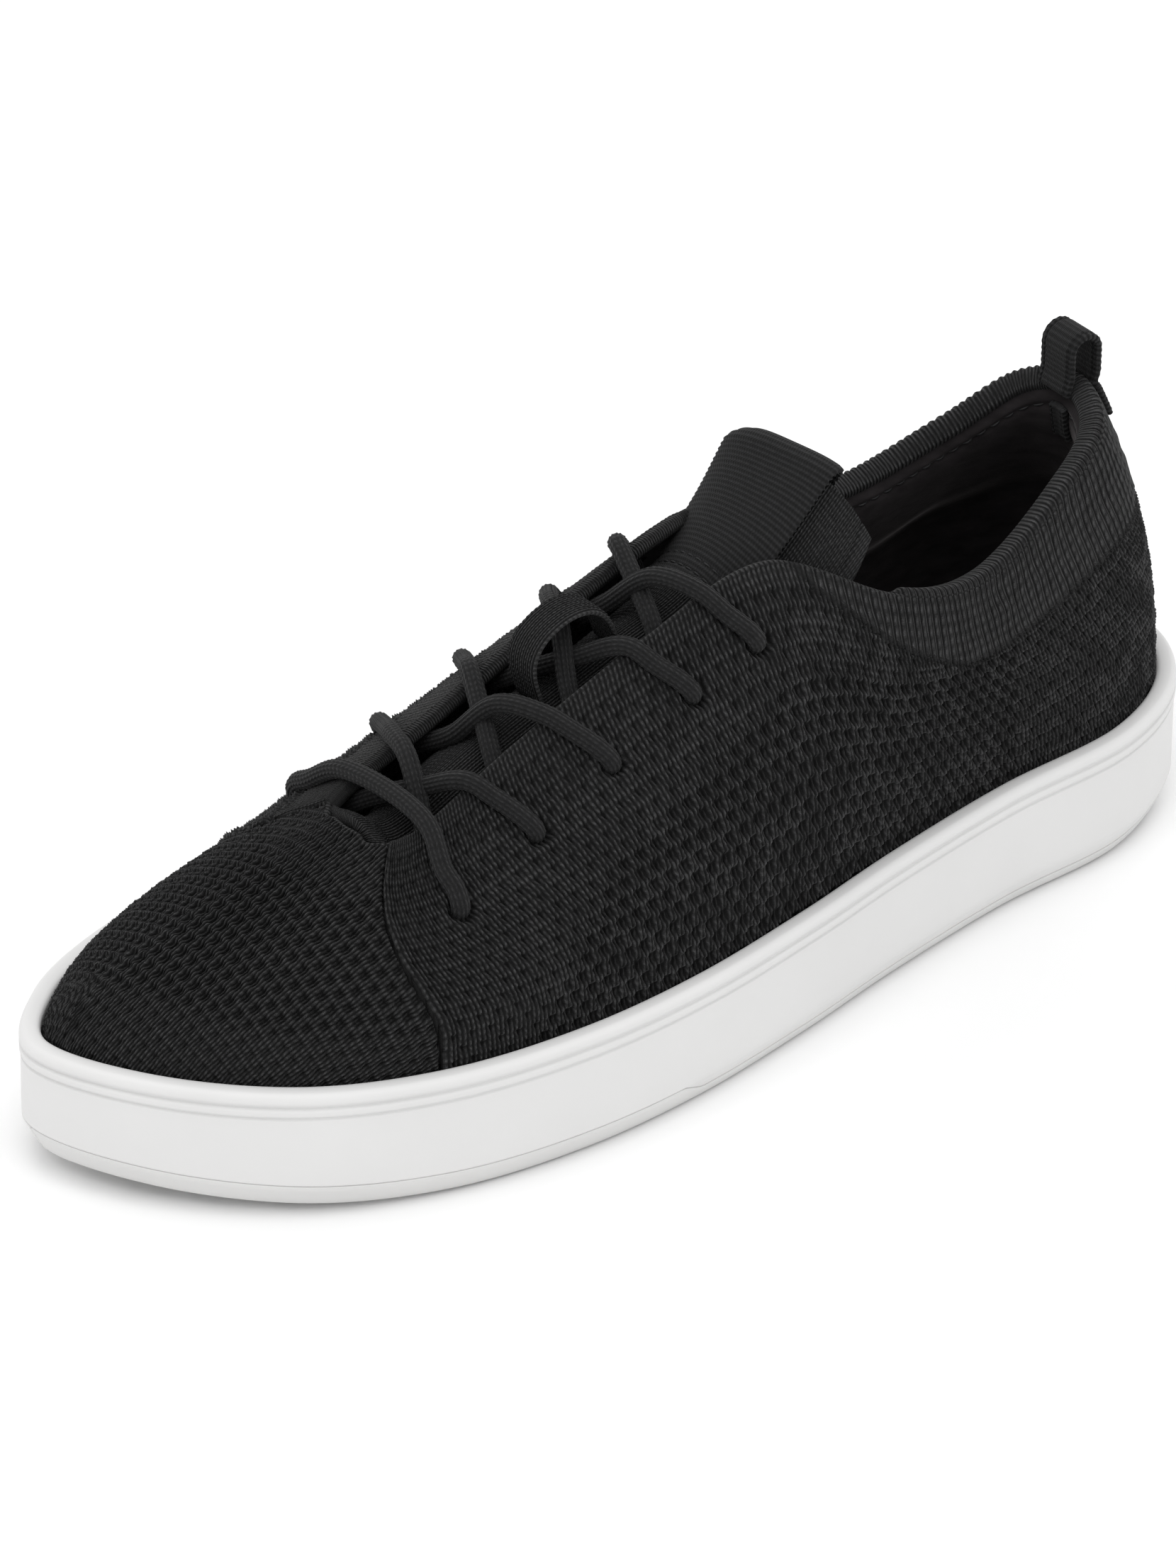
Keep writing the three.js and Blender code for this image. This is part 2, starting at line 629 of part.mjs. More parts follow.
const LACE_SIDES = 8;
function lace() {
  const { points } = lacePath();
  const extrudePath = new HeldCord(points, false, 'centripetal');
  const steps = points.length - 1;
  const section = circleShape(LACE_R, LACE_SIDES);
  return new THREE.ExtrudeGeometry(section, { steps, extrudePath, bevelEnabled: false });
}

const AGLET = { length: 16, radius: 1.7 };
function aglet(end) {
  const points = lacePath()[end].points;
  const tip = points[points.length - 1];
  const way = tip.clone().sub(points[points.length - 2]).normalize();
  const rod = new THREE.CylinderGeometry(AGLET.radius, AGLET.radius, AGLET.length, 10);
  rod.applyQuaternion(new THREE.Quaternion().setFromUnitVectors(new THREE.Vector3(0, 1, 0), way));
  return rod.translate(...tip.addScaledVector(way, AGLET.length / 2 + GAP).toArray());
}

// The knitted loop on the tongue that holds the third crossing: an arch along the tongue.
const KEEPER = { width: 9, row: 2.7, reach: 9.8, height: 14.2, thickness: 1.4 };
function laceKeeper() {
  const foot = tonguePoint(KEEPER.row, 0);
  const ahead = tonguePoint(KEEPER.row + 0.3, 0).sub(foot).normalize();
  const across = new THREE.Vector3(1, 0, 0);
  const up = across.clone().cross(ahead);
  return sheet(2, 10, (wide, along, side) => {
    const angle = Math.PI * along;
    const grow = side ? 0 : KEEPER.thickness;
    const point = foot.clone().addScaledVector(across, KEEPER.width * (wide - 0.5));
    const height = (KEEPER.height + grow) * Math.sin(angle) ** 0.5;
    point.addScaledVector(ahead, -(KEEPER.reach + grow) * Math.cos(angle));
    return point.addScaledVector(up, 0.5 + height);
  });
}

// ---- Pull tab ----
const TAB = { width: 10.5, thickness: 1.5, depth: 4.3, straight: 5.2, base: 3.2 };
const tabMiddle = () => upperPoint(0, 1).add(new THREE.Vector3(-0.5, -2.4, TAB.base));

function pullTab() {
  const outer = TAB.depth;
  const inner = TAB.depth - TAB.thickness;
  const profile = new THREE.Shape();
  profile.moveTo(-outer, 0);
  profile.lineTo(-outer, TAB.straight);
  profile.absarc(0, TAB.straight, outer, Math.PI, 0, true);
  profile.lineTo(outer, 0);
  profile.lineTo(inner, 0);
  profile.lineTo(inner, TAB.straight);
  profile.absarc(0, TAB.straight, inner, 0, Math.PI, false);
  profile.lineTo(-inner, 0);
  const options = { depth: TAB.width, bevelEnabled: false, curveSegments: 8 };
  const loop = new THREE.ExtrudeGeometry(profile, options);
  loop.translate(0, 0, -TAB.width / 2);
  loop.rotateX(Math.PI / 2);
  loop.rotateZ(Math.PI / 2);
  return loop.translate(...tabMiddle().toArray());
}

// The tab's two sewn ends: one down the back of the heel, one down the lining.
function tabAnchor(outside) {
  const depthAt = (v) => (outside ? -GAP : liningDepth(v) + LINING + GAP);
  const grow = outside ? -TAB.thickness : TAB.thickness;
  const half = 0.155;
  const [low, high] = outside ? [0.86, 0.99] : [0.84, 0.97];
  return sheet(3, 4, (across, up, side) => {
    const u = mix(-half, half, across);
    const v = mix(low, high, up);
    return onUpper(u, v, -(depthAt(v) + (side ? grow : 0)));
  });
}

// ---- The assembly ----
const COLOURS = {
  rubber: ['#eceae6', 0.6],
  tread: ['#e6e4df', 0.75],
  foam: ['#d8d3c6', 0.9],
  board: ['#cfc7b4', 0.95],
  footbed: ['#2b2a2b', 0.95],
  knit: ['#242425', 0.9],
  stiffener: ['#8d8a82', 0.8],
  lining: ['#2a2627', 0.95],
  webbing: ['#1f1f20', 0.85],
  lace: ['#29292a', 0.85],
  aglet: ['#2a2a2c', 0.4],
};

const shoe = new THREE.Group();
function add(name, colour, geometry) {
  const [color, roughness] = COLOURS[colour];
  const mesh = new THREE.Mesh(geometry, new THREE.MeshStandardMaterial({ color, roughness, metalness: 0 }));
  mesh.name = name;
  shoe.add(mesh);
}

add('outsole', 'tread', outsole());
add('cupsole', 'rubber', cupsole());
add('midsole_insert', 'foam',
  soleSlab(LIP_INSET + 0.6, (y) => cupFloor(y) + GAP, (y) => boardBottom(y) - GAP));
add('strobel_board', 'board', soleSlab(LIP_INSET + 0.5, boardBottom, boardTop));
add('footbed_foam', 'foam', soleSlab(FOOTBED_INSET, (y) => boardTop(y) + GAP, footbedFoamTop));
add('footbed_cover', 'footbed',
  soleSlab(FOOTBED_INSET, (y) => footbedFoamTop(y) + GAP, (y) => footbedFoamTop(y) + GAP + FOOTBED_COVER));
add('vamp', 'knit', vamp());
add('vamp_lining', 'lining', vampLining());
add('toe_puff', 'stiffener', toePuff());
add('quarter_lateral', 'knit', quarter(1));
add('quarter_medial', 'knit', quarter(-1));
add('eyestay_backing_lateral', 'stiffener', eyestayBacking(1));
add('eyestay_backing_medial', 'stiffener', eyestayBacking(-1));
add('heel_counter', 'stiffener', heelCounter());
add('collar_foam', 'foam', collarFoam());
add('heel_lining', 'lining', heelLining());
add('collar_binding', 'lining', collarBinding());
add('tongue_knit', 'knit', tongueKnit(0, FLEX_ROW, 10));
add('tongue_foam', 'foam', tongueFoam(0.3, FLEX_ROW, 8));
add('tongue_lining', 'lining', tongueLining(0.3, FLEX_ROW, 8));
add('tongue_top_knit', 'knit', tongueKnit(FLEX_ROW, TONGUE_END, 6));
add('tongue_top_foam', 'foam', tongueFoam(FLEX_ROW, TONGUE_END - 0.1, 5));
add('tongue_top_lining', 'lining', tongueLining(FLEX_ROW, TONGUE_END, 5));
add('tongue_label', 'webbing', tongueLabel());
add('lace_keeper', 'knit', laceKeeper());
add('lace', 'lace', lace());
add('aglet_lateral', 'aglet', aglet('outer'));
add('aglet_medial', 'aglet', aglet('inner'));
add('pull_tab', 'webbing', pullTab());
add('pull_tab_anchor_outer', 'webbing', tabAnchor(true));
add('pull_tab_anchor_inner', 'webbing', tabAnchor(false));

export default shoe;
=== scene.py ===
"""Looks for a knit lace-up sneaker on a cupsole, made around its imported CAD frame.

Lengths are millimetres until a mesh is made. +Z is up, the toe points towards -Y, +X is the
outer side. u is a station around the shoe, 0 at the heel's back and 11 at the toe, and v runs
up the side, from 0 at the sole's lip to 1 at the rim.
"""
import math

import bpy
import numpy as np
from mathutils import Matrix, Vector


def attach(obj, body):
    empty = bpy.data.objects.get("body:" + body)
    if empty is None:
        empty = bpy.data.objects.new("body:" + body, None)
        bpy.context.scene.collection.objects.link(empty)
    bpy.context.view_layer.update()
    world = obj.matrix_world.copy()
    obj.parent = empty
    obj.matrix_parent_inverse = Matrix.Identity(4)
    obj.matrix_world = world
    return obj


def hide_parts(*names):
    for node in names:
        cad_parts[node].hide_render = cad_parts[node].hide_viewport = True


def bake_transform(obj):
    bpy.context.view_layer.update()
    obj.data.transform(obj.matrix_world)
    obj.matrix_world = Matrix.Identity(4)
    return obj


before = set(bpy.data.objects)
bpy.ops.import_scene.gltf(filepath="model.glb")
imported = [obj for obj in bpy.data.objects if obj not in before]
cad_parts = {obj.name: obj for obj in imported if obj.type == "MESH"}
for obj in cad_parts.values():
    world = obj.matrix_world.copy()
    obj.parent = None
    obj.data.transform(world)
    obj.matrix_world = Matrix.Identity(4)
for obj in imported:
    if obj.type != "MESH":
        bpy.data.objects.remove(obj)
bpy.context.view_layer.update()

MM = 0.001
FULL = 2 * math.pi

# ---- Driving dimensions, as on the frame ----
GAP = 0.3
LIP_INSET = 4.5
KNIT = 2.0
SOLE_TOP_TOE, SOLE_TOP_HEEL = 29.0, 30.5
TOE_SPRING, HEEL_LIFT = 5.0, 2.0
SPRING_FROM, LIFT_FROM = -57.0, 100.0
PARTING_TOE, PARTING_HEEL = 6.0, 3.2
PARTING_STEP = (-24.0, -18.0)
BEVEL, BEVEL_HEIGHT = 3.4, 6.3
CUP_FLOOR_TOE, CUP_FLOOR_HEEL = 9.0, 6.6
BOARD_TOP_TOE, BOARD_TOP_HEEL = 15.0, 19.8
FOOTBED_INSET = 11.0
LACE_R = 2.1
LACE_SINK = 0.5  # how far the lace presses into the soft knit
TURN_R = 4.1
BACKING = 0.8
LINING = 0.8
KNIT_DEPTH_IN_CUP = 3.0
SIDE_SWELL = 0.5

# Sole outline x, y | shoulder x, y, z | rim of the throat and collar x, y, z
STATIONS = np.array([
    [-9.5, 147.5, -9.5, 135, 80, -9.5, 126, 98],
    [12, 138, 9, 127, 78, 7, 119, 96],
    [25, 115, 19, 107, 73, 16, 103, 90],
    [29, 80, 27, 77, 66, 22.5, 76, 80],
    [36, 45, 33, 49, 70, 25, 50, 86],
    [43.5, 15, 33, 20, 82, 17.5, 21, 100],
    [50, -18, 33, -14, 76, 15.5, -10, 91],
    [52, -50, 34, -46, 64, 15.5, -42, 78],
    [48, -83, 33, -77, 54, 17, -68, 67.5],
    [36, -112, 21, -94, 53, 12, -76.5, 65],
    [14, -135, 9, -99, 55, 8, -77.5, 66],
    [-11, -146, -5, -101, 55, 4, -78, 66.2],
    [-29, -132.5, -16, -99, 53, 0, -77.5, 66],
    [-40.5, -110.5, -25, -91, 51, -4, -76.5, 65],
    [-48, -80, -33, -74, 50, -9, -68, 66.5],
    [-48.5, -50, -34, -44, 61, -10, -42, 76.5],
    [-45, -18, -30, -12, 75, -11, -10, 89.5],
    [-41, 15, -29, 22, 83, -13, 21, 98.5],
    [-40.5, 45, -35, 50, 70, -26, 50, 86],
    [-43, 78, -36, 78, 66, -30, 76, 80],
    [-46, 110, -37, 106, 73, -28, 102, 87],
    [-35, 137.5, -27, 128, 78, -22, 119, 95.5],
])
COUNT = len(STATIONS)
TOE_STATION = 11

# Tongue rows: middle of the outer face x, y, z, half width, drop and turn of its sides, lean,
# flatness of the middle, how far the outer side stands back, width of the inner side's share
TONGUE_ROWS = np.array([
    [4, -75.3, 65.5, 12, 6, 45, 0, 0.9, 0, 1],
    [4, -66, 64, 20, 18.5, 50, 0, 0.8, 0, 1],
    [2.7, -42, 73, 22, 19.5, 50, 0, 0.8, 0, 1],
    [2.2, -10, 84.4, 20, 18.4, 50, 0, 0.85, 0, 1],
    [2.2, 8, 90.5, 18.5, 13, 54, 0.1, 1, 0, 1],
    [2, 23, 101, 17.6, 17, 66, 0.25, 1.1, 0.07, 0.73],
    [-0.2, 38, 112, 20.5, 26, 80, 0.38, 1.6, 0.2, 0.73],
])
TONGUE_END = len(TONGUE_ROWS) - 1

EYELETS = [(7.72, 0.68), (7.06, 0.74), (6.42, 0.76), (5.76, 0.78), (5.24, 0.8)]


# ---- Curves and surfaces ----
def smooth(a, b, x):
    t = np.clip((x - a) / (b - a), 0, 1)
    return t * t * (3 - 2 * t)


def hump(x, middle, width):
    """1 at the middle, fading to nothing about two widths away."""
    return np.exp(-((x - middle) / width) ** 2)


def mix(a, b, t):
    return a + (b - a) * t


def unit(vectors):
    return vectors / np.maximum(np.linalg.norm(vectors, axis=-1, keepdims=True), 1e-9)


def same_shape(a, b):
    return np.broadcast_arrays(np.asarray(a, float), np.asarray(b, float))


def run_along(points):
    """The distance from the first point to each of them, along the line that they make."""
    return np.concatenate([[0], np.cumsum(np.linalg.norm(np.diff(points, axis=0), axis=1))])


def at_runs(wanted, run, values):
    """The values' columns, read off where the run reaches each wanted distance."""
    return np.stack([np.interp(wanted, run, column) for column in values.T], -1)


def catmull(a, b, c, d, t):
    t = np.asarray(t)[..., None]
    slope = (c - a) * t
    bend = (2 * a - 5 * b + 4 * c - d) * t**2
    return 0.5 * (2 * b + slope + bend + (3 * b - a - 3 * c + d) * t**3)


def station(u):
    at = np.floor(u).astype(int)
    return catmull(*(STATIONS[(at + k) % COUNT] for k in (-1, 0, 1, 2)), u - at)


def outline(u):
    return station(u)[..., :2]


def outline_normal(u):
    along = unit(outline(u + 0.02) - outline(u - 0.02))
    return np.stack([-along[..., 1], along[..., 0]], -1)


def lengthways(y):
    return np.clip((y + 147) / 294, 0, 1)


def spring(y):
    toe = TOE_SPRING * (np.maximum(SPRING_FROM - y, 0) / 90) ** 2
    return toe + HEEL_LIFT * (np.maximum(y - LIFT_FROM, 0) / 47) ** 2


def sole_top(y):
    return mix(SOLE_TOP_TOE, SOLE_TOP_HEEL, lengthways(y)) + 0.4 * spring(y)


def parting(y):
    step = np.clip((y - PARTING_STEP[0]) / (PARTING_STEP[1] - PARTING_STEP[0]), 0, 1)
    return mix(PARTING_TOE, PARTING_HEEL, step) + spring(y)


def cup_floor(y):
    return mix(CUP_FLOOR_TOE, CUP_FLOOR_HEEL, smooth(-50, 70, y)) + spring(y)


def board_top(y):
    return mix(BOARD_TOP_TOE, BOARD_TOP_HEEL, smooth(-50, 70, y)) + 0.8 * spring(y)


def bevel_inset(y, z):
    return BEVEL * np.clip(1 - (z - spring(y)) / BEVEL_HEIGHT, 0, 1)


def upper_point(u, v):
    u, v = same_shape(u, v)
    row = station(u)
    normal = outline_normal(u)
    foot = row[..., :2] - (LIP_INSET + GAP) * normal
    lip = sole_top(row[..., 1]) - KNIT_DEPTH_IN_CUP
    start = np.concatenate([foot, lip[..., None]], -1)
    shoulder, rim = row[..., 2:5], row[..., 5:8]
    middle = mix(lip, shoulder[..., 2], 0.5)[..., None]
    upright = np.concatenate([foot + SIDE_SWELL * normal, middle], -1)
    w = np.maximum(v, 0)[..., None]
    curve = (1 - w) ** 3 * start + 3 * (1 - w) ** 2 * w * upright
    curve = curve + 3 * (1 - w) * w**2 * shoulder + w**3 * rim
    hang = np.minimum(v, 0) * (lip - board_top(row[..., 1]) - GAP)
    curve[..., 2] += hang
    return curve


def face_normal(point_at, a, b, step=0.01):
    along_a = point_at(a + step, b) - point_at(a - step, b)
    along_b = point_at(a, b + step) - point_at(a, b - step)
    return -unit(np.cross(along_a, along_b))


def upper_normal(u, v):
    return face_normal(upper_point, np.asarray(u, float), np.clip(v, 0.015, 0.985))


def on_upper(u, v, offset):
    u, v = same_shape(u, v)
    return upper_point(u, v) + upper_normal(u, v) * np.asarray(offset, float)[..., None]


def tongue_row(i):
    inside = np.clip(i, 0, TONGUE_END)
    next_in = np.where(i < 0, 1, TONGUE_END - 1)
    outside = 2 * TONGUE_ROWS[inside] - TONGUE_ROWS[next_in]
    return np.where(((i < 0) | (i > TONGUE_END))[..., None], outside, TONGUE_ROWS[inside])


def tongue_point(s, t):
    s, t = same_shape(s, t)
    at = np.floor(s).astype(int)
    row = catmull(*(tongue_row(at + k) for k in (-1, 0, 1, 2)), s - at)
    x, y, z, half, drop, turn, lean, flatness, twist, inner = np.moveaxis(row, -1, 0)
    whole = np.radians(turn)
    angle = whole * np.where(t < 0, t * inner, t)
    fall = drop * ((1 - np.cos(angle)) / (1 - np.cos(whole))) ** flatness
    across = half * np.sin(angle) / np.sin(whole)
    return np.stack([x + across, y + lean * fall + twist * across, z - fall], -1)


def on_tongue(s, t, offset):
    s, t = same_shape(s, t)
    normal = face_normal(tongue_point, s, t)
    return tongue_point(s, t) + normal * np.asarray(offset, float)[..., None]


def even_steps(place, start, end, count):
    """Parameters from start to end that place() puts an equal distance apart."""
    fine = np.linspace(start, end, 400)
    run = run_along(place(fine))
    return np.interp(np.linspace(0, run[-1], count), run, fine)


# ---- Mesh making ----
def make_object(name, points, faces, uv=None, hollow=None):
    points = np.asarray(points, float).reshape(-1, 3)
    mesh = bpy.data.meshes.new(name)
    mesh.from_pydata((points * MM).tolist(), [], [list(face) for face in faces])
    mesh.shade_smooth()
    if uv is not None:
        corners = np.zeros(len(mesh.loops), np.int32)
        mesh.loops.foreach_get("vertex_index", corners)
        layer = mesh.uv_layers.new(name="weave")
        layer.data.foreach_set("uv", np.asarray(uv, np.float32).reshape(-1, 2)[corners].ravel())
    # the attribute 'hollow' carries painted shade for the knit's holes and eyelets
    if hollow is not None:
        depth = mesh.attributes.new("hollow", "FLOAT", "POINT")
        depth.data.foreach_set("value", np.asarray(hollow, np.float32).ravel())
    made = bpy.data.objects.new(name, mesh)
    bpy.context.scene.collection.objects.link(made)
    return made


def facing_out(points, faces):
    """The faces, turned over if they enclose a negative volume."""
    points = np.asarray(points, float).reshape(-1, 3)
    volume = 0.0
    for size in (3, 4):
        chosen = np.array([face for face in faces if len(face) == size], int)
        if not len(chosen):
            continue
        for k in range(1, size - 1):
            a, b, c = points[chosen[:, 0]], points[chosen[:, k]], points[chosen[:, k + 1]]
            volume += np.einsum("ij,ij->i", a, np.cross(b, c)).sum()
    return [face[::-1] for face in faces] if volume < 0 else faces


def grid_faces(columns, rows, wrap=False, start=0):
    """Quads over a grid whose points are stored column by column. wrap closes each column."""
    i, j = np.meshgrid(np.arange(columns - 1), np.arange(rows if wrap else rows - 1), indexing="ij")
    k = (j + 1) % rows
    corners = [i * rows + j, (i + 1) * rows + j, (i + 1) * rows + k, i * rows + k]
    return (start + np.stack(corners, -1).reshape(-1, 4)).tolist()


def zipped(a, b):
    """Triangles between two lines of points that start and end beside each other."""
    faces = []
    i = j = 0
    while i < len(a) - 1 or j < len(b) - 1:
        behind = (i + 1) * (len(b) - 1) <= (j + 1) * (len(a) - 1)
        if j == len(b) - 1 or (i < len(a) - 1 and behind):
            faces.append([a[i], a[i + 1], b[j]])
            i += 1
        else:
            faces.append([a[i], b[j + 1], b[j]])
            j += 1
    return faces


def loft(name, loops, split, uv=None, hollow=None):
    """A closed solid from closed loops. The first split points of a loop are its outer side."""
    columns, rows = loops.shape[:2]
    faces = grid_faces(columns, rows, wrap=True)
    for column in (0, columns - 1):
        first = column * rows
        outer = list(range(first, first + split))
        inner = list(range(first + rows - 1, first + split - 1, -1))
        cap = zipped(outer, inner)
        faces += [face[::-1] for face in cap] if column else cap
    return make_object(name, loops, facing_out(loops, faces), uv, hollow)


def two_faced(name, outer, inner, uv=None):
    """A closed layer between an outer and an inner face, each columns by rows of points.

    uv is given for the outer face, and the inner face repeats it.
    """
    loops = np.concatenate([outer, inner[:, ::-1]], 1)
    if uv is not None:
        uv = np.concatenate([uv, uv[:, ::-1]], 1)
    return loft(name, loops, outer.shape[1], uv)


def closed_rings(name, rings, uv=None):
    """A closed solid from rings around the shoe, shut at both ends across the shoe."""
    count, around = rings.shape[:2]
    faces = grid_faces(count, around, wrap=True)
    for ring in (0, count - 1):
        first = ring * around
        left = list(range(first, first + around // 2 + 1))
        right = [first] + list(range(first + around - 1, first + around // 2 - 1, -1))
        cap = zipped(left, right)[1:-1]
        faces += [face[::-1] for face in cap] if ring else cap
    return make_object(name, rings, facing_out(rings, faces), uv)


def sweep(name, path, section_at, sides, uv=None):
    """A tube along path. section_at(i, angle) gives its radius."""
    tangent = unit(np.gradient(path, axis=0))
    side = unit(np.cross(tangent[0], [0.0, 0.0, 1.0]))
    side_at = []
    for way in tangent:
        side = unit(side - way * (side @ way))
        side_at.append(side)
    side = np.array(side_at)
    third = np.cross(tangent, side)
    angle = np.linspace(0, FULL, sides, endpoint=False)
    radius = section_at(np.arange(len(path))[:, None], angle[None, :])
    round_it = side[:, None] * np.cos(angle)[None, :, None]
    round_it = round_it + third[:, None] * np.sin(angle)[None, :, None]
    points = path[:, None] + round_it * radius[..., None]
    faces = grid_faces(len(path), sides, wrap=True)
    ends = np.array([path[0], path[-1]])
    last = len(path) * sides
    for j in range(sides):
        k = (j + 1) % sides
        faces.append([k, j, last])
        faces.append([last - sides + j, last - sides + k, last + 1])
    everything = np.concatenate([points.reshape(-1, 3), ends])
    if uv is not None:
        uv = np.concatenate([uv(np.arange(len(path))[:, None], angle[None, :]), np.zeros((2, 2))])
    return make_object(name, everything, facing_out(everything, faces), uv)


# ---- Materials ----
STITCH_SLANT = 0.9  # courses that a leg climbs across one wale


def new_material(name, roughness, sheen=0.0, tint=(1, 1, 1), specular=0.5):
    made = bpy.data.materials.new(name)
    made.use_nodes = True
    shader = made.node_tree.nodes["Principled BSDF"]
    shader.inputs["Roughness"].default_value = roughness
    shader.inputs["Specular IOR Level"].default_value = specular
    shader.inputs["Sheen Weight"].default_value = sheen
    shader.inputs["Sheen Roughness"].default_value = 0.45
    shader.inputs["Sheen Tint"].default_value = (*tint, 1)
    return made, made.node_tree, shader


def add_node(tree, kind, **settings):
    made = tree.nodes.new(kind)
    for key, value in settings.items():
        if hasattr(made, key):
            setattr(made, key, value)
        else:
            made.inputs[key.replace("_", " ")].default_value = value
    return made


def noise(tree, coordinates, scale, detail=3.0, stretch=(1, 1, 1)):
    mapping = add_node(tree, "ShaderNodeMapping", Scale=stretch)
    tree.links.new(coordinates, mapping.inputs["Vector"])
    made = add_node(tree, "ShaderNodeTexNoise", Scale=scale, Detail=detail)
    tree.links.new(mapping.outputs["Vector"], made.inputs["Vector"])
    return made.outputs["Fac"]


def ramp(tree, value, low, high, dark, light):
    made = add_node(tree, "ShaderNodeValToRGB")
    made.color_ramp.elements[0].position = low
    made.color_ramp.elements[1].position = high
    made.color_ramp.elements[0].color = (*dark, 1)
    made.color_ramp.elements[1].color = (*light, 1)
    tree.links.new(value, made.inputs["Fac"])
    return made.outputs["Color"]


def calculate(tree, operation, *values):
    made = add_node(tree, "ShaderNodeMath", operation=operation)
    for socket, value in zip(made.inputs, values):
        if isinstance(value, (int, float)):
            socket.default_value = value
        else:
            tree.links.new(value, socket)
    return made.outputs[0]


def bump(tree, shader, height, distance, strength=1.0):
    """Relief by height times distance, in millimetres."""
    made = add_node(tree, "ShaderNodeBump", Strength=strength, Distance=distance * MM)
    tree.links.new(height, made.inputs["Height"])
    if shader.inputs["Normal"].links:
        tree.links.new(shader.inputs["Normal"].links[0].from_socket, made.inputs["Normal"])
    tree.links.new(made.outputs["Normal"], shader.inputs["Normal"])


def weave_coordinates(tree):
    return add_node(tree, "ShaderNodeUVMap", uv_map="weave").outputs["UV"]


def object_coordinates(tree):
    return add_node(tree, "ShaderNodeTexCoord").outputs["Object"]


def colour_mix(tree, first, **settings):
    """A mix of two colours, and its second colour's and factor's sockets."""
    made = add_node(tree, "ShaderNodeMix", data_type="RGBA", **settings)
    tree.links.new(first, made.inputs[6])
    return made.outputs[2], made.inputs[7], made.inputs[0]


def multiplied(tree, colour, amount):
    """The colour, each of its channels times the amount."""
    result, second, factor = colour_mix(tree, colour, blend_type="MULTIPLY")
    factor.default_value = 1.0
    tree.links.new(amount, second)
    return result


def painted_shade_in_hollows(tree, colour, floor_share):
    """The colour with painted shade: down to floor_share of it where the attribute 'hollow' is 1."""
    hollow = add_node(tree, "ShaderNodeAttribute", attribute_name="hollow").outputs["Fac"]
    keep = calculate(tree, "SUBTRACT", 1.0, calculate(tree, "MULTIPLY", hollow, 1.0 - floor_share))
    return multiplied(tree, colour, keep)


def parts_of(tree, vector):
    """The vector's X, Y and Z, as sockets."""
    made = add_node(tree, "ShaderNodeSeparateXYZ")
    tree.links.new(vector, made.inputs[0])
    return made.outputs


def across_one(tree, value):
    """How far a coordinate lies from the middle of its unit, 0 to 0.5."""
    part = calculate(tree, "FRACT", value, 0)
    return calculate(tree, "ABSOLUTE", calculate(tree, "SUBTRACT", part, 0.5), 0)


def wave(tree, value):
    """A cosine of whole turns, from 0 to 1."""
    turned = calculate(tree, "COSINE", calculate(tree, "MULTIPLY", value, FULL), 0)
    return calculate(tree, "MULTIPLY_ADD", turned, 0.5, 0.5)


def stitches(tree, weave):
    """Height of plain knit in the weave's own units: two slanted legs for each stitch."""
    parts = parts_of(tree, weave)
    x = across_one(tree, parts["X"])
    legs = calculate(tree, "SUBTRACT", 1.0, wave(tree, calculate(tree, "MULTIPLY", x, 2.0)))
    slanted = calculate(tree, "ADD", parts["Y"], calculate(tree, "MULTIPLY", x, STITCH_SLANT))
    loops = calculate(tree, "MULTIPLY_ADD", wave(tree, slanted), 0.62, 0.38)
    return calculate(tree, "MULTIPLY", legs, loops)


def ribs(tree, weave):
    """Height of grosgrain: one rounded rib for each unit of the weave's second coordinate."""
    parts = parts_of(tree, weave)
    rib = wave(tree, calculate(tree, "SUBTRACT", parts["Y"], 0.5))
    thread = wave(tree, parts["X"])
    return calculate(tree, "MULTIPLY_ADD", thread, 0.2, calculate(tree, "MULTIPLY", rib, 0.8))


def yarn_material(name, dark, light, sheen, pattern, depth, shaded_gap_share):
    """Yarn: a pattern of loops or ribs, heathered colour, fibres as a fine relief, and painted shade
    between the yarns and in the hollows.
    """
    made, tree, shader = new_material(name, 0.8, sheen, specular=0.22)
    weave = weave_coordinates(tree)
    place = object_coordinates(tree)
    fibres = noise(tree, weave, 3.2, 4.0, (2.2, 3.0, 1))
    heather = calculate(tree, "MULTIPLY", noise(tree, weave, 0.9, 2.0), 0.35)
    shade = calculate(tree, "MULTIPLY_ADD", fibres, 0.65, heather)
    colour = ramp(tree, shade, 0.32, 0.68, dark, light)
    height = pattern(tree, weave)
    # painted shade between the yarns: the colour falls where the pattern is low
    crest = calculate(tree, "POWER", height, 1.4)
    shaded_between_yarns = multiplied(tree, colour, calculate(tree, "MULTIPLY_ADD", crest, 1.0 - shaded_gap_share, shaded_gap_share))
    # painted shade in the holes and round the eyelets, marked by the attribute 'hollow'
    tree.links.new(painted_shade_in_hollows(tree, shaded_between_yarns, 0.15), shader.inputs["Base Color"])
    bump(tree, shader, noise(tree, place, 2600.0, 2.0), 0.04, 0.6)
    bump(tree, shader, fibres, 0.08)
    bump(tree, shader, height, depth)
    return made


def plain_material(name, dark, light, roughness, scale, distance, sheen=0.0):
    """A moulded or napped surface: colour that drifts a little, and a fine grain."""
    made, tree, shader = new_material(name, roughness, sheen, specular=0.3)
    place = object_coordinates(tree)
    colour = ramp(tree, noise(tree, place, scale * 0.12, 3.0), 0.3, 0.7, dark, light)
    tree.links.new(colour, shader.inputs["Base Color"])
    grain = noise(tree, place, scale, 4.0)
    spread = calculate(tree, "MULTIPLY_ADD", grain, 0.12, roughness - 0.06)
    tree.links.new(spread, shader.inputs["Roughness"])
    bump(tree, shader, grain, distance)
    return made


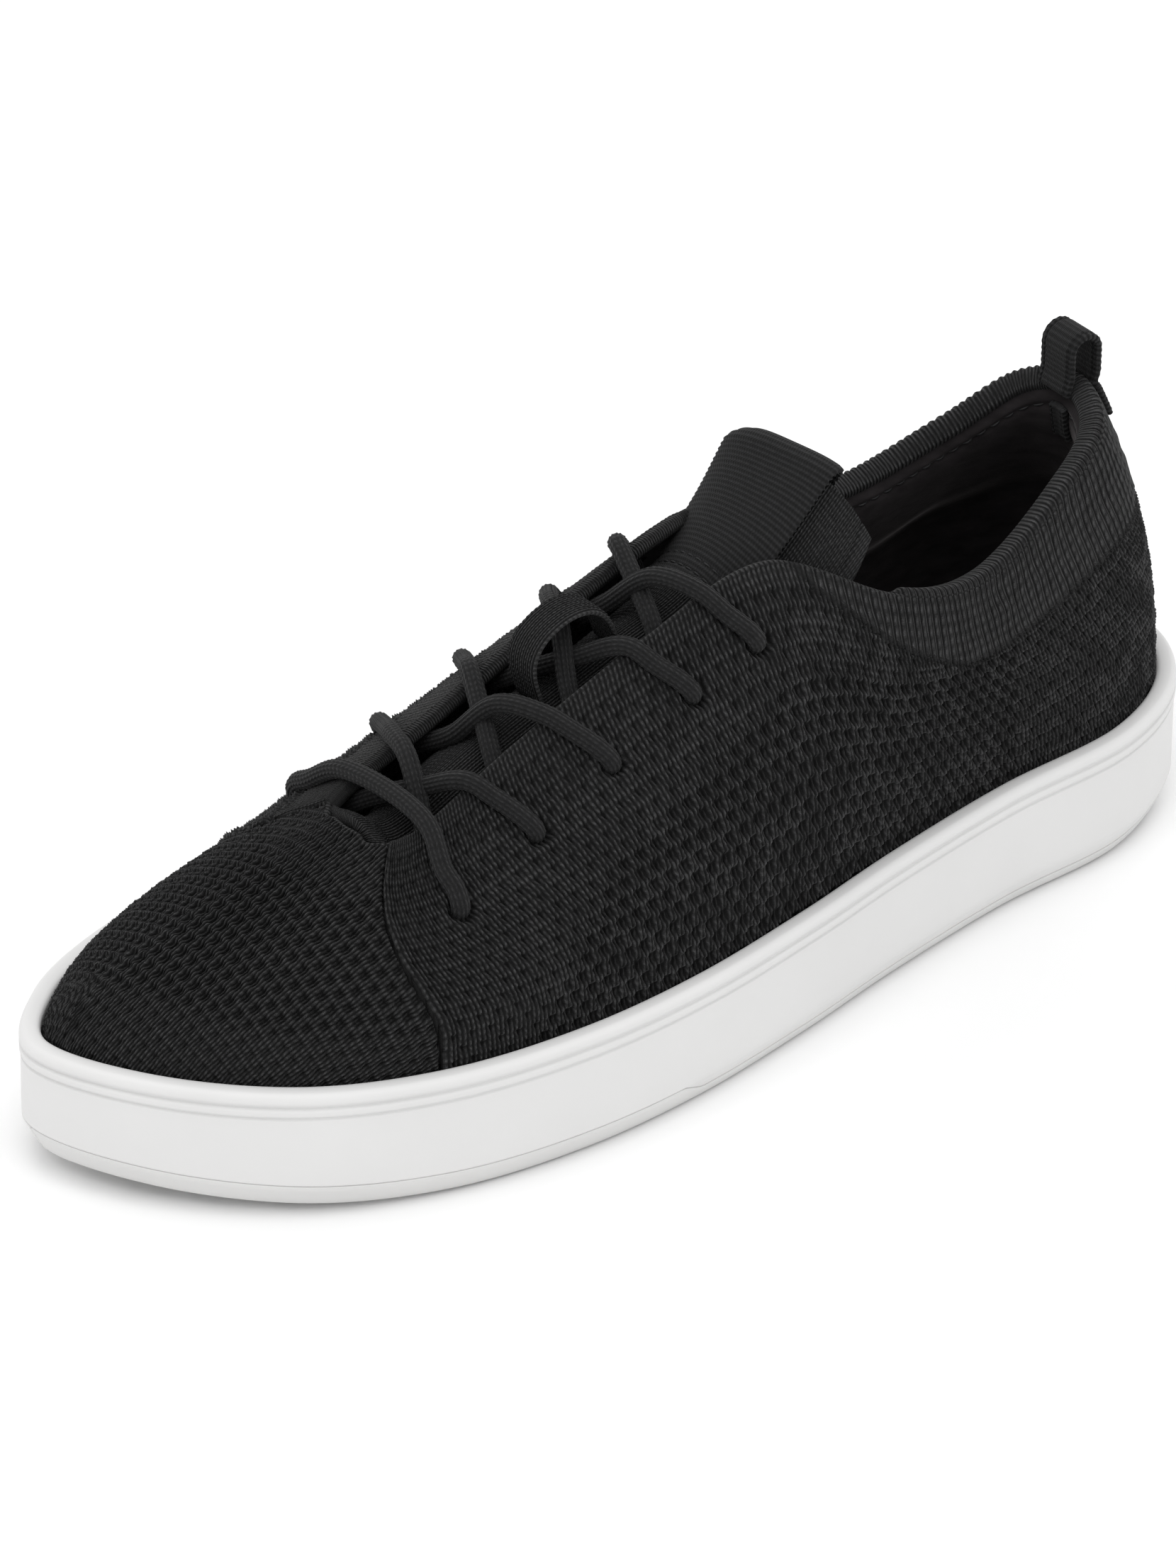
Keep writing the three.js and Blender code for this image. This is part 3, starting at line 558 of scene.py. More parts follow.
def suede_material():
    made, tree, shader = new_material("suede_lining", 0.92, 0.2, (0.75, 0.7, 0.7), 0.15)
    shader.inputs["Sheen Roughness"].default_value = 0.35
    place = object_coordinates(tree)
    patches = noise(tree, place, 160.0, 4.0, (1, 1, 2.4))
    colour = ramp(tree, patches, 0.3, 0.72, (0.0105, 0.009, 0.0095), (0.024, 0.021, 0.022))
    tree.links.new(colour, shader.inputs["Base Color"])
    bump(tree, shader, noise(tree, place, 1500.0, 3.0), 0.06)
    bump(tree, shader, patches, 0.15)
    return made


def rubber_material(name, tone):
    """Matte off-white rubber: a faint mould grain, and a little grey towards the ground."""
    made, tree, shader = new_material(name, 0.5, specular=0.4)
    place = object_coordinates(tree)
    cloud = noise(tree, place, 35.0, 3.0)
    clean = ramp(tree, cloud, 0.25, 0.75, [0.965 * c for c in tone], tone)
    # greyer towards the ground: mixed with a mid grey, up to 6 percent at the floor and none above 12
    # mm
    near_ground = add_node(tree, "ShaderNodeMapRange", From_Max=0.012, To_Min=0.06, To_Max=0.0)
    tree.links.new(parts_of(tree, place)["Z"], near_ground.inputs["Value"])
    greyed_low, low_grey, factor = colour_mix(tree, clean)
    low_grey.default_value = (0.45, 0.44, 0.42, 1)
    tree.links.new(near_ground.outputs["Result"], factor)
    tree.links.new(greyed_low, shader.inputs["Base Color"])
    spread = calculate(tree, "MULTIPLY_ADD", noise(tree, place, 60.0, 2.0), 0.16, 0.42)
    tree.links.new(spread, shader.inputs["Roughness"])
    bump(tree, shader, noise(tree, place, 900.0, 3.0), 0.02)
    return made


def grey(value, blue=0.001):
    """A near-neutral colour, a trace bluer than it is red."""
    return value, value, value + blue


NEAR_BLACK = grey(0.008, 0.0005)
knit_yarn = yarn_material(
    "charcoal_knit", grey(0.010, 0.0005), grey(0.098, 0.002), 0.05, stitches, 0.8, 0.03)
lace_yarn = yarn_material("lace_braid", NEAR_BLACK, grey(0.036), 0.05, stitches, 0.3, 0.3)
web_yarn = yarn_material("grosgrain_webbing", NEAR_BLACK, grey(0.034), 0.04, ribs, 0.4, 0.12)
backing_tape = plain_material("backing_tape", NEAR_BLACK, grey(0.018), 0.9, 1600.0, 0.08)
thread_yarn = plain_material("sewing_thread", NEAR_BLACK, grey(0.022), 0.6, 2500.0, 0.03)
suede = suede_material()
side_rubber = rubber_material("cupsole_rubber", (0.725, 0.722, 0.718))
tread_rubber = rubber_material("outsole_rubber", (0.71, 0.707, 0.70))
dark_foam = plain_material("charcoal_foam", grey(0.02), grey(0.032), 0.9, 1400.0, 0.08)
foam_skin = plain_material(
    "cream_foam", (0.56, 0.52, 0.43), (0.66, 0.62, 0.54), 0.9, 1400.0, 0.08)
board_felt = plain_material(
    "strobel_felt", (0.5, 0.46, 0.37), (0.62, 0.57, 0.48), 0.95, 1100.0, 0.1, 0.1)
stiff_sheet = plain_material(
    "stiffener_sheet", (0.22, 0.21, 0.19), (0.3, 0.285, 0.26), 0.6, 500.0, 0.04)
footbed_cloth = plain_material(
    "footbed_cloth", (0.012, 0.011, 0.012), (0.03, 0.028, 0.029), 0.93, 1800.0, 0.08, 0.25)
tip_plastic = plain_material(
    "aglet_plastic", grey(0.012), grey(0.022, 0.002), 0.25, 300.0, 0.02)

CAD_FINISH = {
    "midsole_insert": foam_skin,
    "strobel_board": board_felt,
    "footbed_foam": foam_skin,
    "footbed_cover": footbed_cloth,
    "vamp_lining": suede,
    "toe_puff": stiff_sheet,
    "eyestay_backing_lateral": backing_tape,
    "eyestay_backing_medial": backing_tape,
    "heel_counter": stiff_sheet,
    "aglet_lateral": tip_plastic,
    "aglet_medial": tip_plastic,
}


def finish_piece(made, finish, slot, body, *replaced):
    """Gives a new piece its material and its body, and hides the nodes it stands for. The slot is not
    used.
    """
    made.data.materials.append(finish)
    if body:
        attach(made, body)
    if replaced:
        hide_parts(*replaced)
    return made


for node_name, finish in CAD_FINISH.items():
    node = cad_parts[node_name]
    for holder in node.material_slots:
        holder.material = finish


# ---- Sole ----
def sole_rings(profile, u):
    """Rings around the sole. profile(y) gives rows of insets and heights for each point's y."""
    edge, normal = outline(u), outline_normal(u)
    insets, heights = profile(edge[:, 1])
    places = edge[None] - normal[None] * insets[..., None]
    return np.concatenate([places, heights[..., None]], -1)


def stacked(y, rows):
    """Rows of (inset, height), each a number or one for each y, as two arrays."""
    filled = [[np.broadcast_to(np.asarray(value, float), y.shape) for value in row] for row in rows]
    return np.array([row[0] for row in filled]), np.array([row[1] for row in filled])


def groove(z, depth, half):
    """A round-bottomed groove in the sidewall, as (inset, height) rows from top to bottom."""
    steps = np.linspace(1, -1, 9)
    return [(depth * math.sqrt(1 - step * step), z + half * step) for step in steps]


LIP_ROUND = 1.7  # radius of the lip's outer shoulder
UPPER_GROOVE, LOWER_GROOVE = 3.1, 5.6  # below the lip's top
LEDGE = 0.28  # how far the sidewall stands in under the lower groove
# The rounded edge at the parting line: how far in and how far from the line each row lies
PARTING_EDGE = [(0.04, 0.26), (0.18, 0.08), (0.4, 0.01), (0.9, 0.0)]


def cup_inside(y):
    """The cup's inner wall, from its floor to the flat of the lip."""
    top = sole_top(y)
    rows = [(LIP_INSET, cup_floor(y)), (LIP_INSET, cup_floor(y) + 2), (LIP_INSET, top - 3)]
    for outwards, below in ((0.0, 1.1), (0.15, 0.55), (0.6, 0.2), (1.3, 0.04)):
        rows.append((LIP_INSET - outwards, top - below))
    return rows + [(2.2, top)]


def lip_shoulder(y):
    rows = []
    for degrees in np.linspace(80, 0, 9):
        angle = math.radians(degrees)
        inset = LIP_ROUND * (1 - math.cos(angle))
        rows.append((inset, sole_top(y) - LIP_ROUND * (1 - math.sin(angle))))
    return rows


def grooved_wall(y):
    """The sidewall's upper part, with its two grooves and the small step in at the lower one."""
    top = sole_top(y)
    rows = groove(top - UPPER_GROOVE, 0.45, 0.42)
    for share in (0.4, 0.7):
        rows.append((0.0, top - mix(UPPER_GROOVE, LOWER_GROOVE, share)))
    for k, (inset, z) in enumerate(groove(top - LOWER_GROOVE, 0.4, 0.4)):
        rows.append((inset + LEDGE * (0.4 + 0.05 * k), z))
    return rows


def lower_wall(y):
    """The sidewall's lower part: straight, then drawn in by the bevel down to the parting line."""
    foot = parting(y) + 0.02
    bend = spring(y) + BEVEL_HEIGHT + GAP
    start = sole_top(y) - LOWER_GROOVE - 0.9
    rows = [(LEDGE, start)]
    rows += [(LEDGE, mix(start, bend + 1.2, share)) for share in (0.2, 0.4, 0.6, 0.8, 1.0)]
    for share in (0.0, 0.25, 0.5, 0.75):
        z = mix(bend, foot + 0.45, share)
        rows += [(LEDGE + np.maximum(bevel_inset(y, z - GAP) - 0.1, 0), z)]
    brink = np.maximum(bevel_inset(y, foot), LEDGE)
    return rows + [(brink + inset, foot + away) for inset, away in PARTING_EDGE]


def cup_profile(y):
    return stacked(y, cup_inside(y) + lip_shoulder(y) + grooved_wall(y) + lower_wall(y))


def cupsole():
    around = np.linspace(0, COUNT, 640, endpoint=False)
    made = closed_rings("cupsole_moulding", sole_rings(cup_profile, around))
    return finish_piece(made, side_rubber, "cupsole_rubber", "root", "cupsole")


TREAD_DEPTH = 1.3
TREAD_PITCH = 6.4
TREAD_BORDER = 5.5
HEEL_X = -9.5  # the sole's middle at the heel
CHANNEL_OUT = 13  # from the sole's middle to each lengthways channel


def tread(points, edge_distance):
    """How far the underside is cut in: waves across it, two lengthways channels, a flat rim."""
    x, y = points[..., 0], points[..., 1]
    phase = (y + 2.6 * np.sin(FULL * x / 17)) / TREAD_PITCH
    from_wave = np.abs(phase - np.floor(phase) - 0.5)
    waves = 1 - smooth(0.1, 0.17, from_wave)
    centre = HEEL_X + 11 * smooth(120, -60, y) - 6 * smooth(-60, -140, y)
    channels = 1 - smooth(0.9, 1.6, np.abs(np.abs(x - centre) - CHANNEL_OUT))
    rim = smooth(TREAD_BORDER, TREAD_BORDER + 0.7, edge_distance)
    gutter = 1 - smooth(0.35, 0.8, np.abs(edge_distance - TREAD_BORDER + 1.4))
    return TREAD_DEPTH * np.maximum(np.maximum(waves, channels) * rim, 0.7 * gutter)


def tread_profile(y):
    """The outsole's wall, from its top face down to the ground."""
    top, ground = parting(y) - 0.02, spring(y)
    brink = np.maximum(bevel_inset(y, top), LEDGE)
    rows = [(brink + inset, top - away) for inset, away in PARTING_EDGE[::-1]]
    for share in (0.75, 0.45, 0.2):
        z = mix(ground + 0.7, top - 0.5, share)
        rows += [(np.maximum(bevel_inset(y, z), LEDGE - 0.1), z)]
    rows += [(BEVEL - 0.25, ground + 0.35), (BEVEL + 0.1, ground + 0.08), (BEVEL + 0.5, ground)]
    return stacked(y, rows)


def tread_face(left, right):
    """The treaded underside between the wall's two lower edges, in rows across the sole."""
    across = np.linspace(0, 1, 150)[1:-1, None, None]
    bottom = mix(left[None], right[None], across)
    span = np.linalg.norm(left - right, axis=-1)
    edge_distance = BEVEL + np.minimum(across[..., 0], 1 - across[..., 0]) * span[None]
    y = bottom[..., 1]
    from_ends = np.minimum(1, np.minimum(y + 146, 147.5 - y) / TREAD_BORDER)
    bottom[..., 2] = spring(y) + tread(bottom, edge_distance * np.clip(from_ends, 0, 1))
    return bottom


def outsole():
    """Rungs across the sole, from each station to the one opposite, closed over its top face."""
    turn = np.linspace(0, 1, 460)[1:-1]
    u = TOE_STATION * (0.5 - 0.5 * np.cos(math.pi * turn))
    u = mix(u, TOE_STATION * turn, 0.35)
    left, right = sole_rings(tread_profile, u), sole_rings(tread_profile, COUNT - u)
    bottom = tread_face(left[-1], right[-1])
    lid = mix(left[0][None], right[0][None], np.linspace(1, 0, 8)[1:-1, None, None])
    loops = np.concatenate([left, bottom, right[::-1], lid]).transpose(1, 0, 2)
    made = loft("outsole_tread", loops, len(left) + len(bottom) + len(right))
    return finish_piece(made, tread_rubber, "tread_rubber", "root", "outsole")


cupsole()
outsole()


# ---- Knit ----
YARN_SWAY = 0.1


def knit_relief(wale, course):
    """Height of plain knit, 0 to 1: two slanted legs for each stitch."""
    x = np.abs(wale - np.floor(wale) - 0.5)
    legs = np.sin(FULL * x) ** 2
    loops = 0.5 + 0.5 * np.cos(FULL * (course + STITCH_SLANT * x))
    return legs * (0.45 + 0.55 * loops)


def irregular(a, b, seed):
    """A smooth random field over two coordinates, from -1 to 1, with swells one unit wide."""
    values = np.random.default_rng(seed).uniform(-1, 1, (64, 64))
    i, j = np.floor(a).astype(int), np.floor(b).astype(int)
    s, t = smooth(0, 1, a - i), smooth(0, 1, b - j)
    low = mix(values[i % 64, j % 64], values[(i + 1) % 64, j % 64], s)
    high = mix(values[i % 64, (j + 1) % 64], values[(i + 1) % 64, (j + 1) % 64], s)
    return mix(low, high, t)


def hand_of_yarn(wale, course, seed):
    """Wale and course with the small sway of real knitting."""
    swayed = wale + YARN_SWAY * irregular(wale / 2.3, course / 1.7, seed)
    return swayed, course + YARN_SWAY * irregular(wale / 1.9, course / 2.1, seed + 1)


def rib_crest(wale):
    """Height of ribbed knit, 0 to 1: one rounded rib for each wale."""
    return (0.5 - 0.5 * np.cos(FULL * wale)) ** 0.7


def uneven(wale, course, seed):
    """How full each stitch is, around 1."""
    return 1 + 0.25 * irregular(wale + 0.5, course + 0.5, seed)


def openings(a, b, pitch_a, pitch_b, radius):
    """1 in the staggered holes of an open knit and 0 around them. All in one unit of length."""
    row = np.floor(b / pitch_b)
    off_b = b - (row + 0.5) * pitch_b
    shifted = a / pitch_a + 0.5 * (row % 2)
    off_a = (shifted - np.floor(shifted) - 0.5) * pitch_a
    return 1 - smooth(0.4, 1.25, np.hypot(off_a, off_b) / radius)


def even_rows(u_at, low, high, count):
    """v of count rows up each column, an equal distance apart. u_at(v) gives each column's u."""
    fine = np.linspace(low, high, 160)
    points = upper_point(u_at(fine[None, :]), fine[None, :])
    run = np.cumsum(np.linalg.norm(np.diff(points, axis=1), axis=-1), axis=1)
    run = np.concatenate([np.zeros((len(run), 1)), run], 1)
    share = np.linspace(0, 1, count)
    return np.array([np.interp(share * line[-1], line, fine) for line in run])


RIM_ANGLES = np.radians([15, 50, 90, 130, 165])
BACK_ROWS = 14  # of points down a knitted layer's inner face
SHELL_BOTTOM = -1.0  # v at which the upper meets the board


def shell_maps(weave, hollow, around):
    """A layer's weave and the painted shade of its hollows, carried on from its face to the rest of
    each loop.
    """
    columns, rows = hollow.shape
    after = np.arange(1, around - rows)[None, :, None] * np.array([0.0, 0.5])
    whole_weave = np.concatenate([weave[:, :1], weave, weave[:, -1:] + after], 1)
    depth = np.zeros((columns, around))
    depth[:, 1:1 + rows] = hollow
    return whole_weave, depth


def shell(name, u_at, v, outer, fold, weave, hollow):
    """A knitted layer of the upper: relief outside, a rounded rim, a plain inner face.

    u_at(v) gives each column's station, v and outer are columns by rows, from the bottom up.
    fold is how much thicker each column is where its rim is folded under.
    """
    face = on_upper(u_at(v), v, outer)
    foot_v = np.full((len(v), 1), SHELL_BOTTOM)
    foot = on_upper(u_at(foot_v), foot_v, np.full((len(v), 1), -0.2))
    top_v = v[:, -1:]
    edge_u = u_at(top_v)
    rise = unit(upper_point(edge_u, top_v) - upper_point(edge_u, top_v - 0.03))
    half = (KNIT + fold[:, None]) / 2
    rim = on_upper(edge_u, top_v, -half + half * np.cos(RIM_ANGLES)[None])
    rim = rim + rise * (half * np.sin(RIM_ANGLES))[..., None]
    back_v = np.linspace(1, 0, BACK_ROWS)[None] ** 1.5 * (top_v - SHELL_BOTTOM) + SHELL_BOTTOM
    back = on_upper(u_at(back_v), back_v, -KNIT - fold[:, None] * smooth(0.84, 0.92, back_v))
    loops = np.concatenate([foot, face, rim, back], 1)
    split_at = 1 + face.shape[1] + 3
    return loft(name, loops, split_at, *shell_maps(weave, hollow, loops.shape[1]))


# ---- Quarters ----
QUARTER_WALES, QUARTER_COURSES = 115, 38
WALE_STEPS, COURSE_STEPS = 4, 5
WALE, COURSE = 2.0, 1.7
STITCH_HEIGHT, RIB_HEIGHT = 0.8, 0.6
HOLE_R, SMALL_HOLE_R = 1.5, 1.05  # of the open knit and of the plain knit
HOLE_DEPTH, SMALL_HOLE_DEPTH = 1.2, 0.7
DIMPLE = 1.75  # how deep an eyelet is drawn in
RIM_FOLD = 1.3  # how much thicker the knit is where its rim is folded under
FINER = 0.8  # how much closer the stitches of the rolled band are
SEAM_GAP = 0.012
SEAM_STATION = 33  # millimetres from station to station near the seam
EDGE_V = 0.81  # lower border of the rolled band on the throat's inner side


def seam(v):
    return 8 + 0.55 * smooth(0.2, 0.95, v)


def open_zone(u, v):
    """1 where the quarter is knitted open, 0 elsewhere."""
    front = np.clip(7.475 - 1.75 * v, 6.4, 7.3)
    top = np.interp(u, [2.85, 3.3, 4.8, 5.5, 6.6, 7.3], [0.62, 0.64, 0.70, 0.58, 0.5, 0.1])
    inside = smooth(2.82, 2.88, u) * (1 - smooth(front - 0.04, front + 0.04, u))
    return inside * (1 - smooth(top - 0.02, top + 0.02, v))


def ribbed_zone(u, v):
    """1 in the ribbed cuff around the collar."""
    low = np.interp(u, [0, 3.3, 4.7, 4.9], [0.62, 0.66, 0.93, 1.05])
    return smooth(low - 0.02, low + 0.02, v)


def cuff_sway(wale, course):
    """How far the ribs of the cuff wander, in wales."""
    return 0.32 * irregular(wale / 3, course / 4, 17)


def eyelet_dimples(u, points):
    """How far the knit is drawn in around the lace, and the painted shade there."""
    drawn = np.zeros(u.shape)
    dark = np.zeros(u.shape)
    for eye_u, eye_v in EYELETS:
        near = np.abs(u - eye_u) < 0.3
        far = np.linalg.norm(points[near] - upper_point(eye_u, eye_v), axis=-1)
        drawn[near] += -DIMPLE * (1 - smooth(2.2, 3.4, far)) + 0.3 * hump(far, 4.1, 0.7)
        # painted shade round the lace, where it goes into the knit
        dark[near] = np.maximum(dark[near], 1 - smooth(1.8, 3.2, far))
    return drawn, dark


def seam_ridge(u, v):
    """The knit swells over the lapped edge of the vamp and dips behind it."""
    from_seam = (seam(v) - u) * SEAM_STATION
    return 0.75 * hump(from_seam, 1.9, 1.1) - 0.35 * hump(from_seam, 4.4, 0.6)


def rolled_band(u, v):
    """The band folded over the throat's inner edge, with a crease along its border."""
    raised = 0.5 * smooth(EDGE_V, EDGE_V + 0.03, v) - 1.1 * hump(v, EDGE_V - 0.008, 0.011)
    return raised * smooth(4.9, 5.1, u)


def quarter_relief(u, v, wale, course, side, points):
    """Outward offset of the knit's skin in millimetres, and the painted shade of its holes and round
    its eyelets.
    """
    a, b = wale * WALE, course * COURSE
    meshed = open_zone(u, v)
    ribbed = ribbed_zone(u, v)
    band = (0.93, 0.99) if side > 0 else (EDGE_V, EDGE_V + 0.04)
    at_throat = smooth(*band, v) * smooth(4.3, 4.7, u)
    big = openings(a, b, 2 * WALE, 2 * COURSE, HOLE_R) * meshed
    small = openings(a, b, 2 * WALE, 2 * COURSE, SMALL_HOLE_R)
    small = small * (1 - ribbed) * (1 - meshed) * (1 - at_throat)
    full = uneven(wale, course, 21)
    plain = STITCH_HEIGHT * full * knit_relief(wale, course)
    plain = plain * (1 - ribbed) * (1 - 0.75 * at_throat)
    rib = RIB_HEIGHT * full * rib_crest(wale) * ribbed
    raised = plain + rib - 0.35 - HOLE_DEPTH * big - SMALL_HOLE_DEPTH * small
    raised += seam_ridge(u, v)
    if side < 0:
        raised += rolled_band(u, v)
    drawn, dark = eyelet_dimples(u, points)
    calm = 1 - 0.7 * dark
    # the second value is painted shade: dark in the holes and round the eyelets
    return raised * calm + drawn, np.maximum(np.maximum(0.9 * big, 0.75 * small), dark)


def quarter_line(share):
    return upper_point(mix(SEAM_GAP, seam(0.4) - SEAM_GAP, share), 0.4)


QUARTER_SHARES = even_steps(quarter_line, 0, 1, QUARTER_WALES * WALE_STEPS + 1)


def rim_wale(u):
    """The quarter's wale that meets the rim at station u, counted from the heel."""
    share = (np.abs(u) - SEAM_GAP) / (seam(1.0) - 2 * SEAM_GAP)
    return np.interp(share, QUARTER_SHARES, np.arange(len(QUARTER_SHARES)) / WALE_STEPS)


def quarter(side, name, node):
    def u_of(v):
        return mix(SEAM_GAP, seam(v) - SEAM_GAP, QUARTER_SHARES[:, None])

    def station_of(v):
        return u_of(v) if side > 0 else COUNT - u_of(v)

    v = even_rows(u_of, -0.12, 0.995, QUARTER_COURSES * COURSE_STEPS)
    wale = np.broadcast_to((np.arange(len(v)) / WALE_STEPS)[:, None], v.shape)
    course = np.broadcast_to((np.arange(v.shape[1]) / COURSE_STEPS)[None], v.shape)
    u = u_of(v)
    calm = 1 - ribbed_zone(u, v)
    swayed, raised_course = hand_of_yarn(wale, course, 31 + side)
    ribbed_wale = wale + cuff_sway(wale, course)
    wale, course = mix(ribbed_wale, swayed, calm), mix(course * 0.6, raised_course, calm)
    points = upper_point(u, v)
    outer, hollow = quarter_relief(u, v, wale, course, side, points)
    if side < 0:
        finer = smooth(EDGE_V - 0.01, EDGE_V, v) * smooth(4.95, 5.05, u)
        start = wale[np.argmin(np.abs(u[:, -1] - 5))][None]
        wale = start + (wale - start) * (1 + FINER * finer)
        course = course * (1 + FINER * finer)
    weave = np.stack([wale, course], -1)
    fold = RIM_FOLD * smooth(4.6, 5.0, u[:, -1])
    made = shell(name, station_of, v, outer, fold, weave, hollow)
    return finish_piece(made, knit_yarn, "knit", "root", node)


quarter(1, "quarter_knit_lateral", "quarter_lateral")
quarter(-1, "quarter_knit_medial", "quarter_medial")


# ---- Vamp ----
VAMP_COLUMNS, VAMP_ROWS = 470, 180
VAMP_WALE, VAMP_COURSE = 1.75, 1.6
VAMP_HOLE = 2 * VAMP_WALE  # from hole to hole across the wales
VAMP_HOLE_R, VAMP_SMALL_HOLE_R = 1.3, 0.95
VAMP_FROM, VAMP_TO = 8.2, 13.8  # stations near its two ends


def flattened(points, normals):
    """Places on the flat knit: each column is laid out from its rim outwards, at true length."""
    flat = np.zeros(points.shape[:2] + (2,))
    flat[:, -1, 0] = points[:, -1, 0] - 4
    flat[:, -1, 1] = 1.08 * points[:, -1, 1]
    for row in range(points.shape[1] - 2, -1, -1):
        moved = points[:, row] - points[:, row + 1]
        down = unit(normals[:, row, :2])
        fall = np.sum(moved[:, :2] * down, axis=-1)
        level = moved[:, :2] - down * fall[:, None]
        flat[:, row] = flat[:, row + 1] + level + down * np.hypot(fall, moved[:, 2])[:, None]
    return flat


def vamp_relief(v, y, wale, course):
    a, b = wale * VAMP_WALE, course * VAMP_COURSE
    low = np.interp(np.abs(a), [0, 25, 60], [0.36, 0.3, 0.24])
    meshed = smooth(low - 0.04, low + 0.04, v) * (1 - smooth(0.8, 0.86, v)) * smooth(-132, -128, y)
    big = openings(a, b, VAMP_HOLE, 2 * VAMP_COURSE, VAMP_HOLE_R) * meshed
    small = openings(a, b, VAMP_HOLE, 2 * VAMP_COURSE, VAMP_SMALL_HOLE_R) * (1 - meshed)
    stitch = uneven(wale, course, 23) * knit_relief(wale, course)
    # the second value is painted shade in the holes
    return 0.62 * stitch - 0.3 - 1.15 * big - 0.6 * small, np.maximum(0.9 * big, 0.75 * small)


def vamp():
    side_reach = 0.045

    def edges(v):
        return seam(v) + SEAM_GAP - side_reach, COUNT - seam(v) - SEAM_GAP + side_reach

    across = even_steps(
        lambda s: upper_point(mix(VAMP_FROM, VAMP_TO, s), 0.2), 0, 1, VAMP_COLUMNS)

    def u_of(v):
        first, last = edges(v)
        return mix(first, last, across[:, None])

    v = even_rows(u_of, -0.15, 0.995, VAMP_ROWS)
    u = u_of(v)
    points = upper_point(u, v)
    flat = flattened(points, upper_normal(u, v))
    flat = flat / np.array([VAMP_WALE, VAMP_COURSE])
    wale, course = hand_of_yarn(flat[..., 0], flat[..., 1], 41)
    outer, hollow = vamp_relief(v, points[..., 1], wale, course)
    first, last = edges(v)
    inside = np.minimum(u - first, last - u) / side_reach
    outer = outer - 2.3 * (1 - smooth(0.75, 1.25, inside))
    weave = np.stack([wale, course], -1)
    made = shell("vamp_knit", u_of, v, outer, np.zeros(len(v)), weave, hollow)
    return finish_piece(made, knit_yarn, "knit", "root", "vamp")


vamp()


# ---- Collar and linings ----
PAD = 4.0
PADDING_END, LINING_END = 3.5, 3.9  # stations at which they end, on each side of the heel
LINING_STITCH_V = 0.945
FOAM_UNDER_KNIT = KNIT + 0.4


def padding(v):
    return smooth(0.5, 0.66, v) * (1 - 0.55 * smooth(0.85, 1, v))


def lining_depth(v):
    return 4.2 + 3 * padding(v)


def ripple(u, v, size, seed):
    """A smooth, irregular swell of a soft surface, about -1 to 1."""
    turn = np.random.default_rng(seed).uniform(0, FULL, 6)
    swell = np.sin(size * 2.3 * u + turn[0]) * np.sin(size * 9 * v + turn[1])
    swell = swell + 0.6 * np.sin(size * 4.1 * u + size * 6 * v + turn[2])
    return 0.6 * (swell + 0.4 * np.sin(size * 7.7 * u - size * 13 * v + turn[3]))


def inner_layer(name, first, last, columns, v, outer, inner, finish, slot, node):
    """A lining: a plain outer face and a soft inner one, by station and height."""
    u = np.linspace(first, last, columns)[:, None]
    v = np.broadcast_to(v[None], (columns, len(v)))
    made = two_faced(name, on_upper(u, v, -outer(u, v)), on_upper(u, v, -inner(u, v)))
    return finish_piece(made, finish, slot, "root", node)


def heel_lining():
    v = np.concatenate([np.linspace(-1, 0, 12)[:-1], np.linspace(0, 1.0, 125)])

    def outer(u, v):
        return mix(lining_depth(v), 3.7, smooth(0.93, 1.0, v)) + 0 * u

    def inner(u, v):
        edge = 1 - smooth(LINING_END - 0.3, LINING_END, np.abs(u))
        seam_line = hump(v, LINING_STITCH_V, 0.012)
        soft = 0.35 * ripple(u, v, 1.0, 3) * smooth(0.05, 0.3, v) * (1 - smooth(0.85, 0.97, v))
        face = 0.55 * smooth(0.5, 0.8, v) + soft - 0.45 * seam_line
        return mix(lining_depth(v) + LINING + face * edge, 5.0, smooth(0.955, 1.0, v) ** 1.5)

    ends = (-LINING_END, LINING_END)
    return inner_layer("heel_suede", *ends, 300, v, outer, inner, suede, "lining", "heel_lining")


def collar_padding():
    """The foam between knit and lining around the ankle, thinner at both ends."""
    def outer(u, v):
        return FOAM_UNDER_KNIT + 0 * u * v

    def inner(u, v):
        full = 1 - smooth(PADDING_END - 0.4, PADDING_END, np.abs(u))
        return FOAM_UNDER_KNIT + 0.3 + PAD * padding(v) * mix(0.4, 0.95, full)

    v = np.linspace(0.6, 0.93, 40)
    ends = (-PADDING_END, PADDING_END)
    made = inner_layer(
        "collar_padding", *ends, 160, v, outer, inner, dark_foam, "foam", "collar_foam")


def vamp_lining():
    v = np.concatenate([np.linspace(-1, 0, 8)[:-1], np.linspace(0, 0.9, 60)])
    middle = 3.9

    def outer(u, v):
        return middle + 0 * u * v

    def inner(u, v):
        return middle + LINING + 0.12 * ripple(u, v, 1.4, 5) * smooth(-0.2, 0.1, v)

    return inner_layer("vamp_suede", 8.3, 13.7, 160, v, outer, inner, suede, "lining", "vamp_lining")


